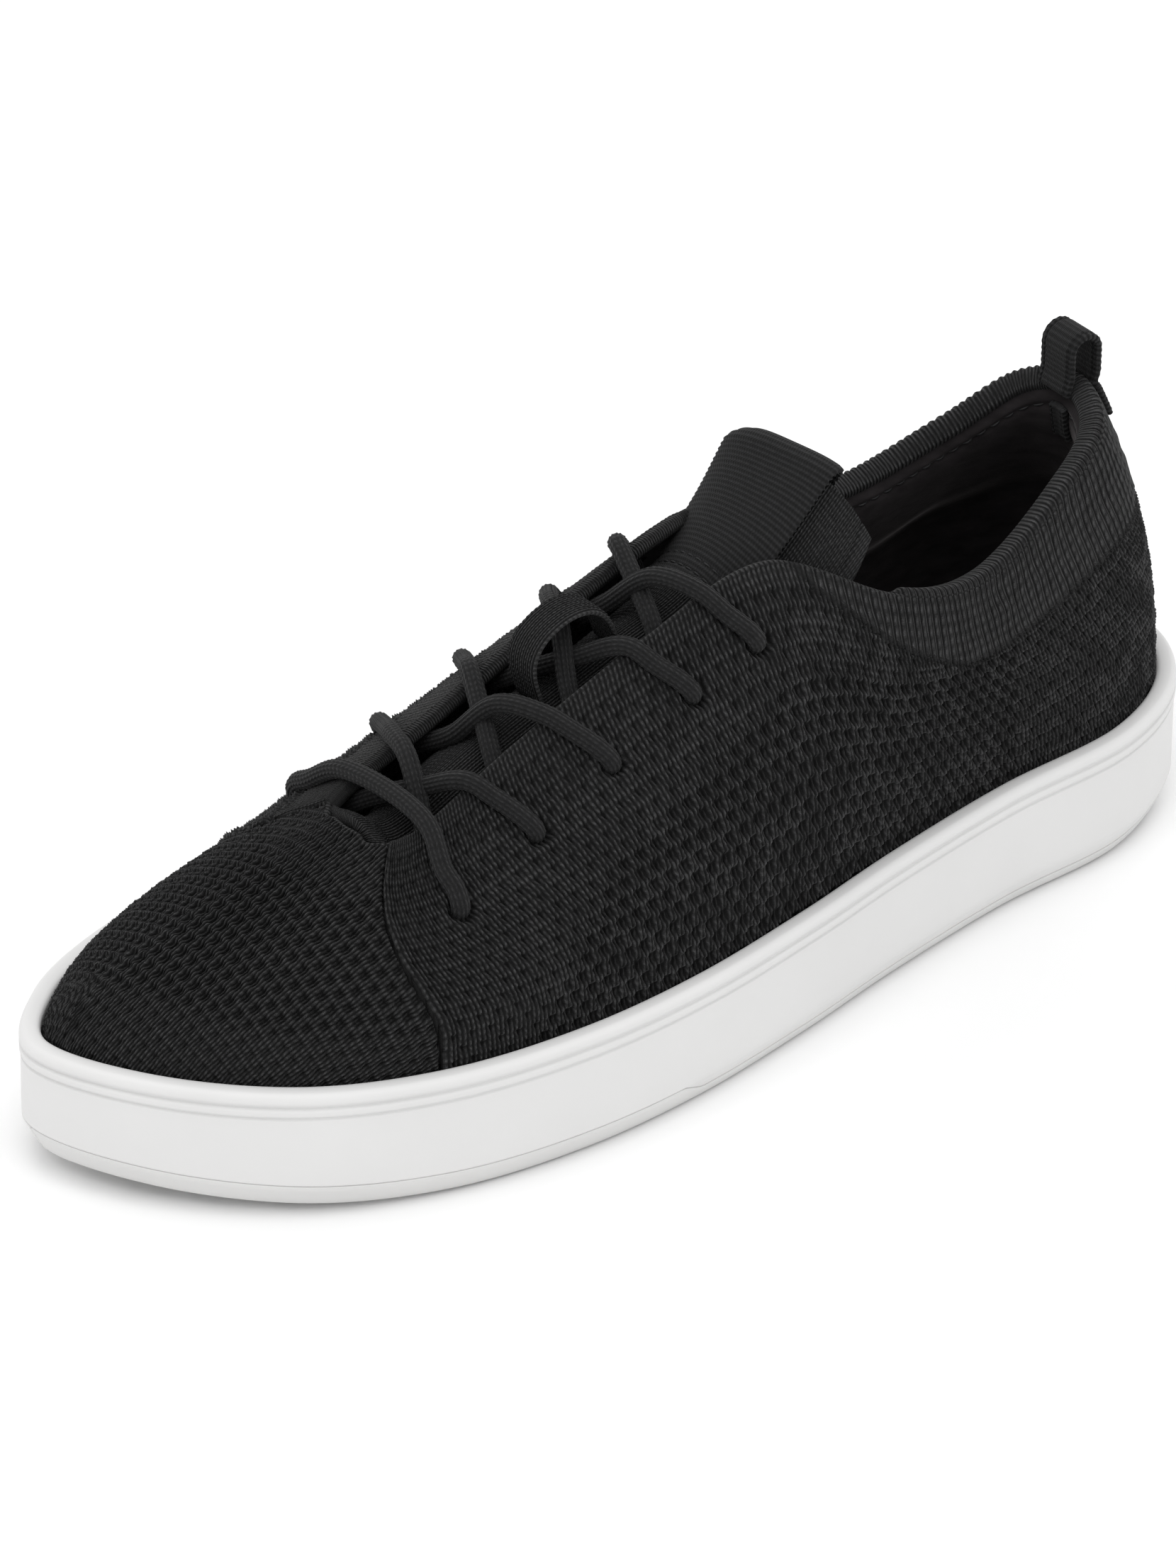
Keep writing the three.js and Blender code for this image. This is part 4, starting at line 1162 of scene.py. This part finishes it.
def dashes(name, path, normal, length, gap, radius, body):
    """A row of sewn stitches along a path, each a short thread that dives at both ends."""
    run = run_along(path)
    starts = np.arange(0.5, run[-1] - length, length + gap)
    points, faces = [], []
    around = 6
    turn = np.linspace(0, FULL, around, endpoint=False)
    steps = np.linspace(0, 1, 7)
    for start in starts:
        at = start + steps * length
        middle = at_runs(at, run, path)
        up = unit(at_runs(at, run, normal))
        side = unit(np.cross(np.gradient(middle, axis=0), up))
        lift = radius * (1.5 * np.sin(math.pi * steps) ** 0.6 - 0.7)
        size = radius * (0.5 + 0.5 * np.sin(math.pi * steps) ** 0.5)
        ring = np.cos(turn)[None, :, None] * side[:, None]
        ring = ring + np.sin(turn)[None, :, None] * up[:, None]
        middle = middle[:, None] + lift[:, None, None] * up[:, None]
        first = len(points) * len(steps) * around
        last = first + (len(steps) - 1) * around
        points.append((middle + ring * size[:, None, None]).reshape(-1, 3))
        faces += grid_faces(len(steps), around, wrap=True, start=first)
        faces.append(list(range(first, first + around))[::-1])
        faces.append(list(range(last, last + around)))
    made = make_object(name, np.concatenate(points), faces)
    return finish_piece(made, thread_yarn, "webbing", body)


def collar_stitching():
    u = np.linspace(-3.75, 3.75, 700)
    v = np.full(u.shape, LINING_STITCH_V)
    depth = lining_depth(v) + LINING + 0.55 - 0.45
    path = on_upper(u, v, -depth)
    return dashes("collar_stitches", path, -upper_normal(u, v), 2.6, 0.9, 0.28, "root")


BINDING_END = 4.05


def collar_binding():
    """The turned edge over the collar's rim: ribbed knit outside, rolled over to the lining."""
    u = np.linspace(-BINDING_END, BINDING_END, 900)
    angle = np.linspace(0, FULL, 28, endpoint=False)
    top = upper_point(u, 1.0)
    out = upper_normal(u, 1.0)
    up = unit(top - upper_point(u, 0.97))
    half = mix(2.55, 1.2, smooth(3.7, BINDING_END, np.abs(u)))
    wale = rim_wale(u)[:, None] + 0 * angle[None]
    wale = wale + cuff_sway(wale, QUARTER_COURSES)
    rib = rib_crest(wale)
    outside = smooth(-0.6, 0.6, np.cos(angle))[None]
    end = 1 - smooth(BINDING_END - 0.12, BINDING_END, np.abs(u))[:, None]
    round_x = np.sign(np.cos(angle)) * np.abs(np.cos(angle)) ** 0.5
    round_z = np.sign(np.sin(angle)) * np.abs(np.sin(angle)) ** 0.85
    across = (half[:, None] + 0.7 * RIB_HEIGHT * rib * outside) * round_x[None] * mix(0.5, 1, end)
    raised = (1.7 + 0.2 * rib * outside) * round_z[None] * mix(0.4, 1, end)
    middle = top - out * (half + 0.3)[:, None] + up * 0.3
    rings = middle[:, None] + out[:, None] * across[..., None] + up[:, None] * raised[..., None]
    weave = np.stack([wale, 4.5 * angle[None] / FULL + 0 * wale], -1)
    made = closed_rings("collar_roll", rings, weave)
    return finish_piece(made, knit_yarn, "knit", "root", "collar_binding")


heel_lining()
collar_padding()
vamp_lining()
collar_stitching()
collar_binding()


# ---- Tongue ----
TONGUE_KNIT, TONGUE_FOAM = 1.6, 2.6
FOAM_FROM = TONGUE_KNIT + GAP
LINING_FROM = FOAM_FROM + TONGUE_FOAM + GAP
TONGUE_BACK = LINING_FROM + LINING
TONGUE_WALE, TONGUE_COURSE = 1.35, 1.1


def finish_tongue_layer(made, finish, slot, *replaced):
    """Finishes a layer that runs the tongue's whole length: no body, and its transform baked in."""
    finish_piece(made, finish, slot, None, *replaced)
    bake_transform(made)


def tongue_rows(count):
    return even_steps(lambda s: tongue_point(s, 0.0), 0, TONGUE_END, count)


def tongue_widths(s, columns):
    """Lengths across each row, so that the wales keep their pitch."""
    t = np.linspace(-1, 1, columns)
    line = tongue_point(*tongue_grid(s, t))
    steps = np.linalg.norm(np.diff(line, axis=1), axis=-1)
    run = np.concatenate([np.zeros((len(s), 1)), np.cumsum(steps, 1)], 1)
    return t, run - run[:, columns // 2][:, None]


def tongue_share(s):
    """How much of the row's width is left where the tongue's end is rounded off."""
    return 1 - 0.27 * smooth(5.1, 6.4, s) ** 1.3


def tongue_grid(s, t):
    s, t = np.meshgrid(s, t, indexing="ij")
    return s, t * tongue_share(s)


def tongue_cushion(s, t):
    """How far the padded middle stands out, in millimetres."""
    middle = 0.7 * np.cos(0.5 * math.pi * np.clip(t / 0.8, -1, 1)) ** 0.8
    return middle * smooth(0.6, 1.6, s) + (2.0 + 2.5 * t * t) * (1 - smooth(0.15, 1.1, s))


def tongue_skin():
    s = tongue_rows(330)
    t, run = tongue_widths(s, 190)
    row_course = (run_along(tongue_point(s, 0.0)) / TONGUE_COURSE)[:, None]
    wale = run / TONGUE_WALE
    course = row_course + 0 * wale
    edge = (1 - np.abs(t))[None] * run[:, -1:]
    hem = 1 - smooth(2.2, 3.2, edge)
    relief = (0.32 * knit_relief(wale, course) - 0.16) * (1 - hem) + 0.12 * hem
    relief -= 0.35 * hump(edge, 3.0, 0.35)
    grid_s, grid_t = tongue_grid(s, t)
    outer = on_tongue(grid_s, grid_t, relief + tongue_cushion(grid_s, grid_t) - 0.55)
    inner_s, inner_t = tongue_grid(s, np.linspace(-1, 1, 24))
    inner = on_tongue(inner_s, inner_t, -TONGUE_KNIT)
    loops = np.concatenate([outer, inner[:, ::-1]], 1)
    weave = np.zeros(loops.shape[:2] + (2,))
    weave[:, :len(t)] = np.stack([wale, course], -1)
    weave[:, len(t):] = np.stack([inner_t[:, ::-1] * 15, 0 * inner_t + row_course], -1)
    made = loft("tongue_knit_skin", loops, len(t), weave)
    finish_tongue_layer(made, knit_yarn, "knit", "tongue_knit", "tongue_top_knit")


def tongue_pad():
    """The foam between the tongue's faces: full in the middle, thin at the sides."""
    s = tongue_rows(120)[1:-2]
    s, t = tongue_grid(s, np.linspace(-0.94, 0.94, 60))
    full = TONGUE_FOAM / 2
    half = full * np.sqrt(np.clip(1 - np.abs(t / 0.94 / tongue_share(s)) ** 5, 0, 1)) * 0.9 + 0.1
    front = on_tongue(s, t, -FOAM_FROM - full + half)
    back = on_tongue(s, t, -FOAM_FROM - full - half)
    made = two_faced("tongue_padding", front, back)
    finish_tongue_layer(made, dark_foam, "foam", "tongue_foam", "tongue_top_foam")


def tongue_back():
    s = tongue_rows(200)
    s, t = tongue_grid(s, np.linspace(-1, 1, 90))
    wrap = smooth(0.86, 1.0, np.abs(t) / tongue_share(s))
    front = on_tongue(s, t, -mix(LINING_FROM, TONGUE_KNIT + 0.05, wrap))
    soft = 0.3 * ripple(s * 0.6, t * 0.3, 1.6, 8) * (1 - wrap)
    back = on_tongue(s, t, -TONGUE_BACK - soft + wrap * 2.2)
    made = two_faced("tongue_suede", front, back)
    finish_tongue_layer(made, suede, "lining", "tongue_lining", "tongue_top_lining")


LABEL = 1.1  # thickness of the webbing
LABEL_FROM = 4.2  # tongue row at which it starts
LABEL_BACK_ROWS = 0.7  # how far it goes on down the lining
LABEL_HALF, LABEL_MIDDLE = 14.0, -1.7  # half its width, and where its middle lies
LABEL_FLATNESS = 0.5  # of the tongue's roundness that the stiff webbing doesn't follow
LABEL_STITCH_ROWS = (2.2, 5.0)  # from its lower end
RIB = 1.2


def label_place(flatness):
    """The surface the label lies on: row s, and w millimetres across from its middle."""
    def place(s, w):
        s, w = same_shape(s, w)
        row = [np.interp(s, np.arange(TONGUE_END + 1), TONGUE_ROWS[:, k]) for k in (3, 5, 9)]
        half, whole, inner = row[0], np.radians(row[1]), row[2]
        t = np.arcsin(np.clip(w * np.sin(whole) / half, -0.99, 0.99)) / whole
        middle = tongue_point(s, 0.0)
        side = tongue_point(s, np.where(t < 0, t / inner, t))
        twist = np.interp(s, np.arange(TONGUE_END + 1), TONGUE_ROWS[:, 8])
        straight = middle + np.stack([w, twist * w, 0 * w], -1)
        return mix(side, straight, flatness)

    return place


def label_track(count):
    """The label's run: down the front, round the tongue's end and up the lining.

    Gives a function that places lines across it, for any distance from the tongue's middle,
    and how far along its run each line lies.
    """
    front = np.linspace(LABEL_FROM, TONGUE_END, 90)
    angles = np.radians(np.linspace(90, -90, 24))[1:-1]
    rear = np.linspace(TONGUE_END, TONGUE_END - LABEL_BACK_ROWS, 20)
    middle = -TONGUE_BACK / 2

    def line(s, w, offset, flatness):
        place = label_place(flatness)
        return place(s, w) + face_normal(place, np.full(w.shape, float(s)), w) * offset

    def place(w, radius):
        end = label_place(LABEL_FLATNESS)
        ahead = unit(end(TONGUE_END, w) - end(TONGUE_END - 0.05, w))
        down = []
        for s in front:
            flatness = LABEL_FLATNESS * smooth(LABEL_FROM, LABEL_FROM + 1, s)
            down.append(line(s, w, middle + radius, flatness))
        turned = []
        for angle in angles:
            flatness = LABEL_FLATNESS * (0.5 + angle / math.pi)
            edge = line(TONGUE_END, w, middle + radius * math.sin(angle), flatness)
            turned.append(edge + ahead * radius * math.cos(angle))
        back = [line(s, w, middle - radius, 0.0) for s in rear]
        return np.array(down + turned + back)

    run = run_along(place(np.array([0.0]), TONGUE_BACK / 2 + GAP)[:, 0])
    stops = np.linspace(0, run[-1], count)

    def even(w, radius):
        lines = place(w, radius)
        return at_runs(stops, run, lines.reshape(len(lines), -1)).reshape(count, *lines.shape[1:])

    return even, stops


def label():
    even, run = label_track(520)
    side = np.linspace(-1, 1, 60)
    reach = TONGUE_BACK / 2 + GAP + 0.1
    inner = even(LABEL_MIDDLE + side * LABEL_HALF, reach)
    skin = even(LABEL_MIDDLE + side * LABEL_HALF, reach + LABEL)
    outward = unit(skin - inner)
    sideways = unit(np.gradient(inner, axis=1))
    rib = 0.5 + 0.5 * np.cos(FULL * run / RIB)
    selvedge = smooth(0.93, 1.0, np.abs(side))
    height = -0.16 + 0.32 * rib[:, None] * (1 - 0.6 * selvedge[None])
    for stitch_row in LABEL_STITCH_ROWS:
        height = height - 0.3 * hump(run, stitch_row, 0.45)[:, None]
    lifted = 0.5 * smooth(3.0, 0.0, run)[:, None]
    serrated = (0.4 * (rib - 0.5))[:, None] * (selvedge * np.sign(side))[None]
    skin = skin + outward * (height + lifted)[..., None] + sideways * serrated[..., None]
    inner = inner + outward * lifted[..., None] + sideways * serrated[..., None]
    warp = (side * 22)[None] + 0 * run[:, None]
    weave = np.stack([warp, run[:, None] / RIB + 0 * warp], -1)
    made = two_faced("tongue_label_webbing", skin, inner, weave)
    finish_piece(made, web_yarn, "webbing", "tongue_top", "tongue_label")
    for number, stitch_row in enumerate(LABEL_STITCH_ROWS):
        row = np.argmin(np.abs(run - stitch_row))
        name = f"label_stitches_{number + 1}"
        dashes(name, skin[row, 2:-2], outward[row, 2:-2], 2.0, 0.7, 0.22, "tongue_top")


tongue_skin()
tongue_pad()
tongue_back()
label()


# ---- Lace ----
EYELET_RIM_V = 0.97
UNDER = KNIT + GAP + BACKING + 0.55 + LACE_R
OVER = LACE_R - LACE_SINK
TURN_MIDDLE = (OVER - UNDER) / 2
CROSSING_RISE = LACE_R + 0.15  # each strand gives way by this much where two cross
CROSSING_CROWN = 2.6  # how far a crossing stands above the line between its rims


def on_side(side, u):
    return u if side > 0 else COUNT - u


def rim_at(side, k):
    return on_side(side, EYELETS[k][0] + (0.2 if k == 0 else 0.1))


def eyelet_turn(side, k, before, after):
    """The bend through one eyelet, from the top of the knit to beneath it."""
    u, v = on_side(side, EYELETS[k][0]), EYELETS[k][1]
    centre, normal = upper_point(u, v), upper_normal(u, v)
    reach = (OVER + UNDER) / 2

    def bend(way, degrees):
        angle = math.radians(degrees)
        flat = way - centre
        flat = unit(flat - normal * (flat @ normal))
        rise = TURN_MIDDLE + reach * math.sin(angle)
        return centre + normal * rise + flat * TURN_R * (1 - math.cos(angle))

    ways = [(before, 90), (before, 45), (before, 0), (after, -45), (after, -90)]
    return [bend(way, degrees) for way, degrees in ways]


def strand(side, a, b, rise):
    """From under the edge at eyelet a, across the tongue and over the far edge to eyelet b."""
    under = on_upper(rim_at(side, a), 0.92, -UNDER)
    out = on_upper(rim_at(side, a), 1.05, -UNDER)
    rim = mix(rim_at(-side, a), rim_at(-side, b), 0.6)
    over = on_upper(rim, 1.02, OVER + 0.1)
    way = on_upper(mix(rim, on_side(-side, EYELETS[b][0]), 0.4), 0.92, OVER - 0.1)
    middle = (out + over) / 2
    middle[2] += rise + CROSSING_CROWN
    return [under, out, middle, over, way]


def tail(side):
    """The tucked end, from the last eyelet forwards under the knit: stations on, and v."""
    u = on_side(side, EYELETS[-1][0])
    stops = [(0.25, 0.6), (0.6, 0.5), (1.1, 0.46), (1.6, 0.46)]
    return [on_upper(u + side * along, v, -UNDER - 0.3) for along, v in stops]


def lace_half(side, rise):
    """Half of the lace, from the first eyelet on one side to its tucked end."""
    points = []
    before = on_upper(rim_at(side, 0), EYELET_RIM_V, OVER)
    for k in range(len(EYELETS)):
        last = k == len(EYELETS) - 1
        after = tail(side)[0] if last else on_upper(rim_at(side, k), EYELET_RIM_V, -UNDER)
        points += eyelet_turn(side, k, before, after)
        if last:
            break
        run = strand(side, k, k + 1, rise)
        points += run
        before = run[-1]
        side = -side
    return points + tail(side)


def lace_points():
    """The whole route: one half backwards, the bar across the front, the other half."""
    outer = lace_half(1, CROSSING_RISE)
    inner = lace_half(-1, -CROSSING_RISE)
    bar = [on_upper(rim_at(side, 0), 1.0, OVER + 0.4) for side in (-1, 1)]
    ways = []
    for side in (-1, 1):
        u, v = on_side(side, EYELETS[0][0]), EYELETS[0][1]
        ways.append(on_upper(mix(rim_at(side, 0), u, 0.5), mix(EYELET_RIM_V, v, 0.5), OVER + 0.1))
    return np.array(inner[::-1] + [ways[0], *bar, ways[1]] + outer)


def through(points, count):
    """A centripetal curve through the points, in count even steps."""
    ends = [2 * points[0] - points[1], *points, 2 * points[-1] - points[-2]]
    knots = np.array(ends)
    t = np.linspace(0, 1, 60, endpoint=False)[:, None]
    fine = []
    for a, b, c, d in zip(knots, knots[1:], knots[2:], knots[3:]):
        steps = np.sqrt([max(np.linalg.norm(step), 1e-6) for step in (b - a, c - b, d - c)])
        before, within, after = steps
        slope_b = ((b - a) / before - (c - a) / (before + within) + (c - b) / within) * within
        slope_c = ((c - b) / within - (d - b) / (within + after) + (d - c) / after) * within
        bend = (2 * t**3 - 3 * t**2 + 1) * b + (t**3 - 2 * t**2 + t) * slope_b
        fine.append(bend + (3 * t**2 - 2 * t**3) * c + (t**3 - t**2) * slope_c)
    fine = np.concatenate([*fine, points[-1:]])
    run = run_along(fine)
    return at_runs(np.linspace(0, run[-1], count), run, fine), run[-1]


LACE_WALES = 7  # plaits around the lace
LACE_COURSE = 1.35


def lace():
    path, length = through(lace_points(), 1900)
    step = length / (len(path) - 1)

    def radius(i, angle):
        plait = knit_relief(angle / FULL * LACE_WALES, i * step / LACE_COURSE)
        return LACE_R - 0.1 + 0.26 * (plait - 0.35)

    def weave(i, angle):
        wale = angle / FULL * LACE_WALES + 0 * i
        return np.stack([wale, i * step / LACE_COURSE + 0 * angle], -1).reshape(-1, 2)

    made = sweep("lace_cord", path, radius, LACE_WALES * 5, weave)
    finish_piece(made, lace_yarn, "lace", "root", "lace")


AGLET_LENGTH, AGLET_R = 16.0, 1.7


def aglet(name, tip, before, node):
    """A crimped tip on the end of the lace that comes to tip from before."""
    way = unit(tip - before)
    run = np.linspace(0, 1, 60)
    middle = tip + way * (GAP + run * AGLET_LENGTH)[:, None]

    def radius(i, angle):
        share = run[i]
        crimp = 0.1 * hump(share, 0.25, 0.03) + 0.1 * hump(share, 0.7, 0.03)
        rounded = np.sqrt(np.clip(1 - ((share - 0.93) / 0.075).clip(0, 1) ** 2, 0.02, 1))
        return (AGLET_R - crimp) * rounded + 0 * angle

    made = sweep(name, middle, radius, 24)
    return finish_piece(made, tip_plastic, "aglet", "root", node)


lace()
aglet("aglet_tip_a", *lace_points()[:2], "aglet_lateral")
aglet("aglet_tip_b", *lace_points()[:-3:-1], "aglet_medial")


KEEPER_ROW = 2.7  # tongue row of its middle
KEEPER_WIDTH, KEEPER_REACH, KEEPER_HEIGHT, KEEPER_KNIT = 9.0, 9.8, 14.2, 1.4


def lace_keeper():
    """The knitted loop on the tongue that holds the third crossing: an arch along the tongue."""
    foot = tongue_point(KEEPER_ROW, 0.0)
    ahead = unit(tongue_point(KEEPER_ROW + 0.3, 0.0) - foot)
    up = np.cross([1.0, 0.0, 0.0], ahead)
    wide = np.linspace(-0.5, 0.5, 46)
    turn = math.pi * np.linspace(0, 1, 200)
    line = np.stack([-KEEPER_REACH * np.cos(turn), KEEPER_HEIGHT * np.sin(turn) ** 0.5], -1)
    wale = wide[None] * KEEPER_WIDTH / TONGUE_WALE
    course = run_along(line)[:, None] / TONGUE_COURSE
    relief = 0.3 * knit_relief(wale + 0.5, course)
    edge = np.sqrt(np.clip(1 - (np.abs(wide) / 0.5) ** 8, 0.02, 1))
    middle = KEEPER_KNIT / 2

    def surface(offset):
        reach = KEEPER_REACH + offset
        height = 0.5 + (KEEPER_HEIGHT + offset) * (np.sin(turn) ** 0.5)[:, None]
        points = foot + up * height[..., None]
        points = points - ahead * (reach * np.cos(turn)[:, None])[..., None]
        return points + np.array([1.0, 0, 0]) * (KEEPER_WIDTH * wide)[None, :, None]

    outer = surface(middle + middle * edge[None] + relief - 0.12)
    inner = surface(middle - middle * edge[None] + 0 * relief)
    weave = np.stack(same_shape(wale, course), -1)
    made = two_faced("keeper_knit", outer, inner, weave)
    finish_piece(made, knit_yarn, "knit", "root", "lace_keeper")


lace_keeper()


# ---- Pull tab ----
TAB_WIDTH, TAB_THICKNESS = 10.5, 1.5
TAB_DEPTH = 4.3  # from the loop's middle to its outer face
TAB_STRAIGHT, TAB_BASE = 5.2, 3.2  # height of the loop's sides, and of their foot over the rim
TAB_LEG, TAB_DRAWN_IN = 4.2, 0.95  # how far the legs go on below the loop, and how far they lean in
CHAIN = 1.5  # width of the braided border on each side of the webbing
LOOP_STEPS, ANCHOR_STEPS = 320, 90  # rows of points along the loop and along a sewn end


def webbing(name, place, length, node, body, steps):
    """A strip of ribbed webbing. place(along, across, depth) gives points; lengths in mm."""
    along = np.linspace(0, length, steps)[:, None]
    across = np.linspace(-TAB_WIDTH / 2, TAB_WIDTH / 2, 54)[None]
    rib = 0.5 - 0.5 * np.cos(FULL * along / RIB)
    border = smooth(TAB_WIDTH / 2 - CHAIN - 0.15, TAB_WIDTH / 2 - CHAIN + 0.15, np.abs(across))
    inward = (np.abs(across) - (TAB_WIDTH / 2 - CHAIN / 2)) / CHAIN
    chain = knit_relief(inward, along / 1.5)
    height = mix(0.2 * rib, 0.34 * chain, border) - 0.1
    height = height - 0.25 * hump(np.abs(across), TAB_WIDTH / 2 - CHAIN, 0.22)
    edge = np.sqrt(np.clip(1 - (2 * np.abs(across) / TAB_WIDTH) ** 14, 0.05, 1))
    half = TAB_THICKNESS / 2
    outer = place(along, across, half - half * edge - height * edge)
    inner = place(along, across, half + half * edge + height * edge)
    weave = np.stack(same_shape(across / 0.45, along / RIB + 0.5), -1)
    made = two_faced(name, outer, inner, weave)
    return finish_piece(made, web_yarn, "webbing", body, node)


def pull_tab():
    """The loop, from its outer sewn end, over the top, to its inner sewn end.

    The legs reach down to the sewn ends.
    """
    middle = upper_point(0.0, 1.0) + np.array([-0.5, -2.4, TAB_BASE])
    arch = TAB_DEPTH - TAB_THICKNESS / 2
    length = 2 * TAB_STRAIGHT + math.pi * arch

    def place(along, across, depth):
        along = along - TAB_LEG
        turned = np.clip((along - TAB_STRAIGHT) / arch, 0, math.pi)
        beyond = np.maximum(along - TAB_STRAIGHT - math.pi * arch, 0)
        radius = TAB_DEPTH - depth
        low = np.maximum(-along, along - length) / TAB_LEG
        y = radius * np.cos(turned) - TAB_DRAWN_IN * smooth(0, 1, low)
        z = np.minimum(along, TAB_STRAIGHT) + radius * np.sin(turned) - beyond
        x = across + 0 * y
        return middle + np.stack(np.broadcast_arrays(x, y, z), -1)

    made = webbing("pull_tab_loop", place, length + 2 * TAB_LEG, "pull_tab", None, LOOP_STEPS)
    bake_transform(made)


def tab_anchor(outside, node):
    """One sewn end of the pull tab, down the back of the heel or down the lining."""
    low, high = (0.86, 0.99) if outside else (0.84, 0.97)
    length = np.linalg.norm(upper_point(0.0, high) - upper_point(0.0, low))
    width = np.linalg.norm(upper_point(0.1, 0.93) - upper_point(-0.1, 0.93)) / 0.2

    def place(along, across, depth):
        v = mix(low, high, along / length)
        u = across / width + 0 * v
        if outside:
            return on_upper(u, v, GAP + TAB_THICKNESS - depth)
        return on_upper(u, v, -(lining_depth(v) + LINING + GAP + TAB_THICKNESS - depth) - 0.2)

    name = "tab_anchor_outer" if outside else "tab_anchor_inner"
    return webbing(name, place, length, node, "root", ANCHOR_STEPS)


pull_tab()
tab_anchor(True, "pull_tab_anchor_outer")
tab_anchor(False, "pull_tab_anchor_inner")


# ---- Footbed ----
FOAM_TOE, FOAM_HEEL = 3.5, 6  # thickness of the footbed's foam
FOOTBED_COVER = 1.0


def footbed_foam_top(y):
    return board_top(y) + GAP + mix(FOAM_TOE, FOAM_HEEL, smooth(-60, 60, y))


def footbed_cover():
    """The insole's cloth top, a little dished, with a rounded edge."""
    u = np.linspace(0, COUNT, 420, endpoint=False)
    edge, normal = outline(u), outline_normal(u)
    shares = np.concatenate([np.linspace(0, 0.12, 14), np.linspace(0.14, 0.995, 70)])
    centre_y = np.clip(edge[:, 1], -95, 96)
    centre_x = HEEL_X + 9 * smooth(110, -40, centre_y) - 10 * smooth(-60, -120, centre_y)
    centre = np.stack([centre_x, centre_y], -1)
    rim = edge - normal * FOOTBED_INSET
    rings = []
    for share in shares:
        place = mix(rim, centre, share)
        y = place[:, 1]
        soft = 0.35 * hump(share, 0.06, 0.035) - 0.25 * smooth(0.1, 0.5, share)
        round_edge = -0.8 * (1 - min(share / 0.02, 1)) ** 2
        z = footbed_foam_top(y) + FOOTBED_COVER + soft + round_edge
        rings.append(np.concatenate([place, z[:, None]], -1))
    under = rim - normal * 0.05
    low = np.concatenate([under, footbed_foam_top(under[:, 1])[:, None] + 0.05], -1)
    middle = mix(rim, centre, 0.995)
    floor = np.concatenate([middle, footbed_foam_top(middle[:, 1])[:, None] + 0.05], -1)
    made = closed_rings("footbed_cloth_top", np.array([floor, low, *rings]))
    return finish_piece(made, footbed_cloth, "footbed_fabric", "footbed", "footbed_cover")


footbed_cover()


# ---- Floor, light and camera ----
def floor():
    half = 4.5
    mesh = bpy.data.meshes.new("floor")
    corners = [(-half, -half, 0), (half, -half, 0), (half, half, 0), (-half, half, 0)]
    mesh.from_pydata(corners, [], [(0, 1, 2, 3)])
    made = bpy.data.objects.new("floor", mesh)
    bpy.context.scene.collection.objects.link(made)
    finish, _, shader = new_material("floor_paper", 0.9, specular=0.0)
    shader.inputs["Base Color"].default_value = (0.95, 0.95, 0.95, 1)
    mesh.materials.append(finish)
    made.location.z = -0.0004


def area_light(name, place, aim, size, watts):
    data = bpy.data.lights.new(name, "AREA")
    data.shape = "RECTANGLE"
    data.size, data.size_y = size
    data.energy = watts
    made = bpy.data.objects.new(name, data)
    bpy.context.scene.collection.objects.link(made)
    made.location = place
    made.rotation_euler = (Vector(aim) - Vector(place)).to_track_quat("-Z", "Y").to_euler()


def lights():
    area_light("key", (0.25, -0.55, 1.25), (0, 0, 0.04), (1.1, 1.1), 6.0)
    area_light("left_side", (-1.1, -0.6, 0.7), (0, -0.02, 0.05), (0.8, 0.8), 1.6)
    area_light("right_side", (1.15, 0.1, 0.75), (0, 0, 0.05), (0.9, 0.7), 2.0)
    area_light("behind", (-0.3, 1.0, 0.9), (0, 0, 0.05), (1.0, 0.6), 2.5)


def studio():
    bpy.context.scene.view_settings.view_transform = "Standard"
    made = bpy.data.worlds.new("studio")
    made.use_nodes = True
    back = made.node_tree.nodes["Background"]
    back.inputs["Color"].default_value = (1, 1, 1, 1)
    back.inputs["Strength"].default_value = 0.8
    bpy.context.scene.world = made


AZIMUTH, ELEVATION, ROLL = math.radians(52.4), math.radians(31.2), math.radians(0.8)
DISTANCE, ACROSS, UPWARDS = 2299.0, -9.5, 39.3
LENS, SENSOR = 334.1, 36.0


def camera():
    back = np.array([
        math.sin(AZIMUTH) * math.cos(ELEVATION),
        -math.cos(AZIMUTH) * math.cos(ELEVATION),
        math.sin(ELEVATION),
    ])
    right = np.array([math.cos(AZIMUTH), math.sin(AZIMUTH), 0.0])
    up = np.cross(back, right)
    place = (DISTANCE * back + ACROSS * right + UPWARDS * up) * MM
    rolled_right = math.cos(ROLL) * right + math.sin(ROLL) * up
    rolled_up = math.cos(ROLL) * up - math.sin(ROLL) * right
    turned = np.stack([rolled_right, rolled_up, back], -1)
    data = bpy.data.cameras.new("camera")
    data.lens = LENS
    data.sensor_fit = "HORIZONTAL"
    data.sensor_width = SENSOR
    data.clip_start, data.clip_end = 0.1, 20.0
    made = bpy.data.objects.new("camera", data)
    bpy.context.scene.collection.objects.link(made)
    made.matrix_world = Matrix.Translation(Vector(place)) @ Matrix(turned.tolist()).to_4x4()
    bpy.context.scene.camera = made


floor()
studio()
lights()
camera()

bpy.context.view_layer.update()
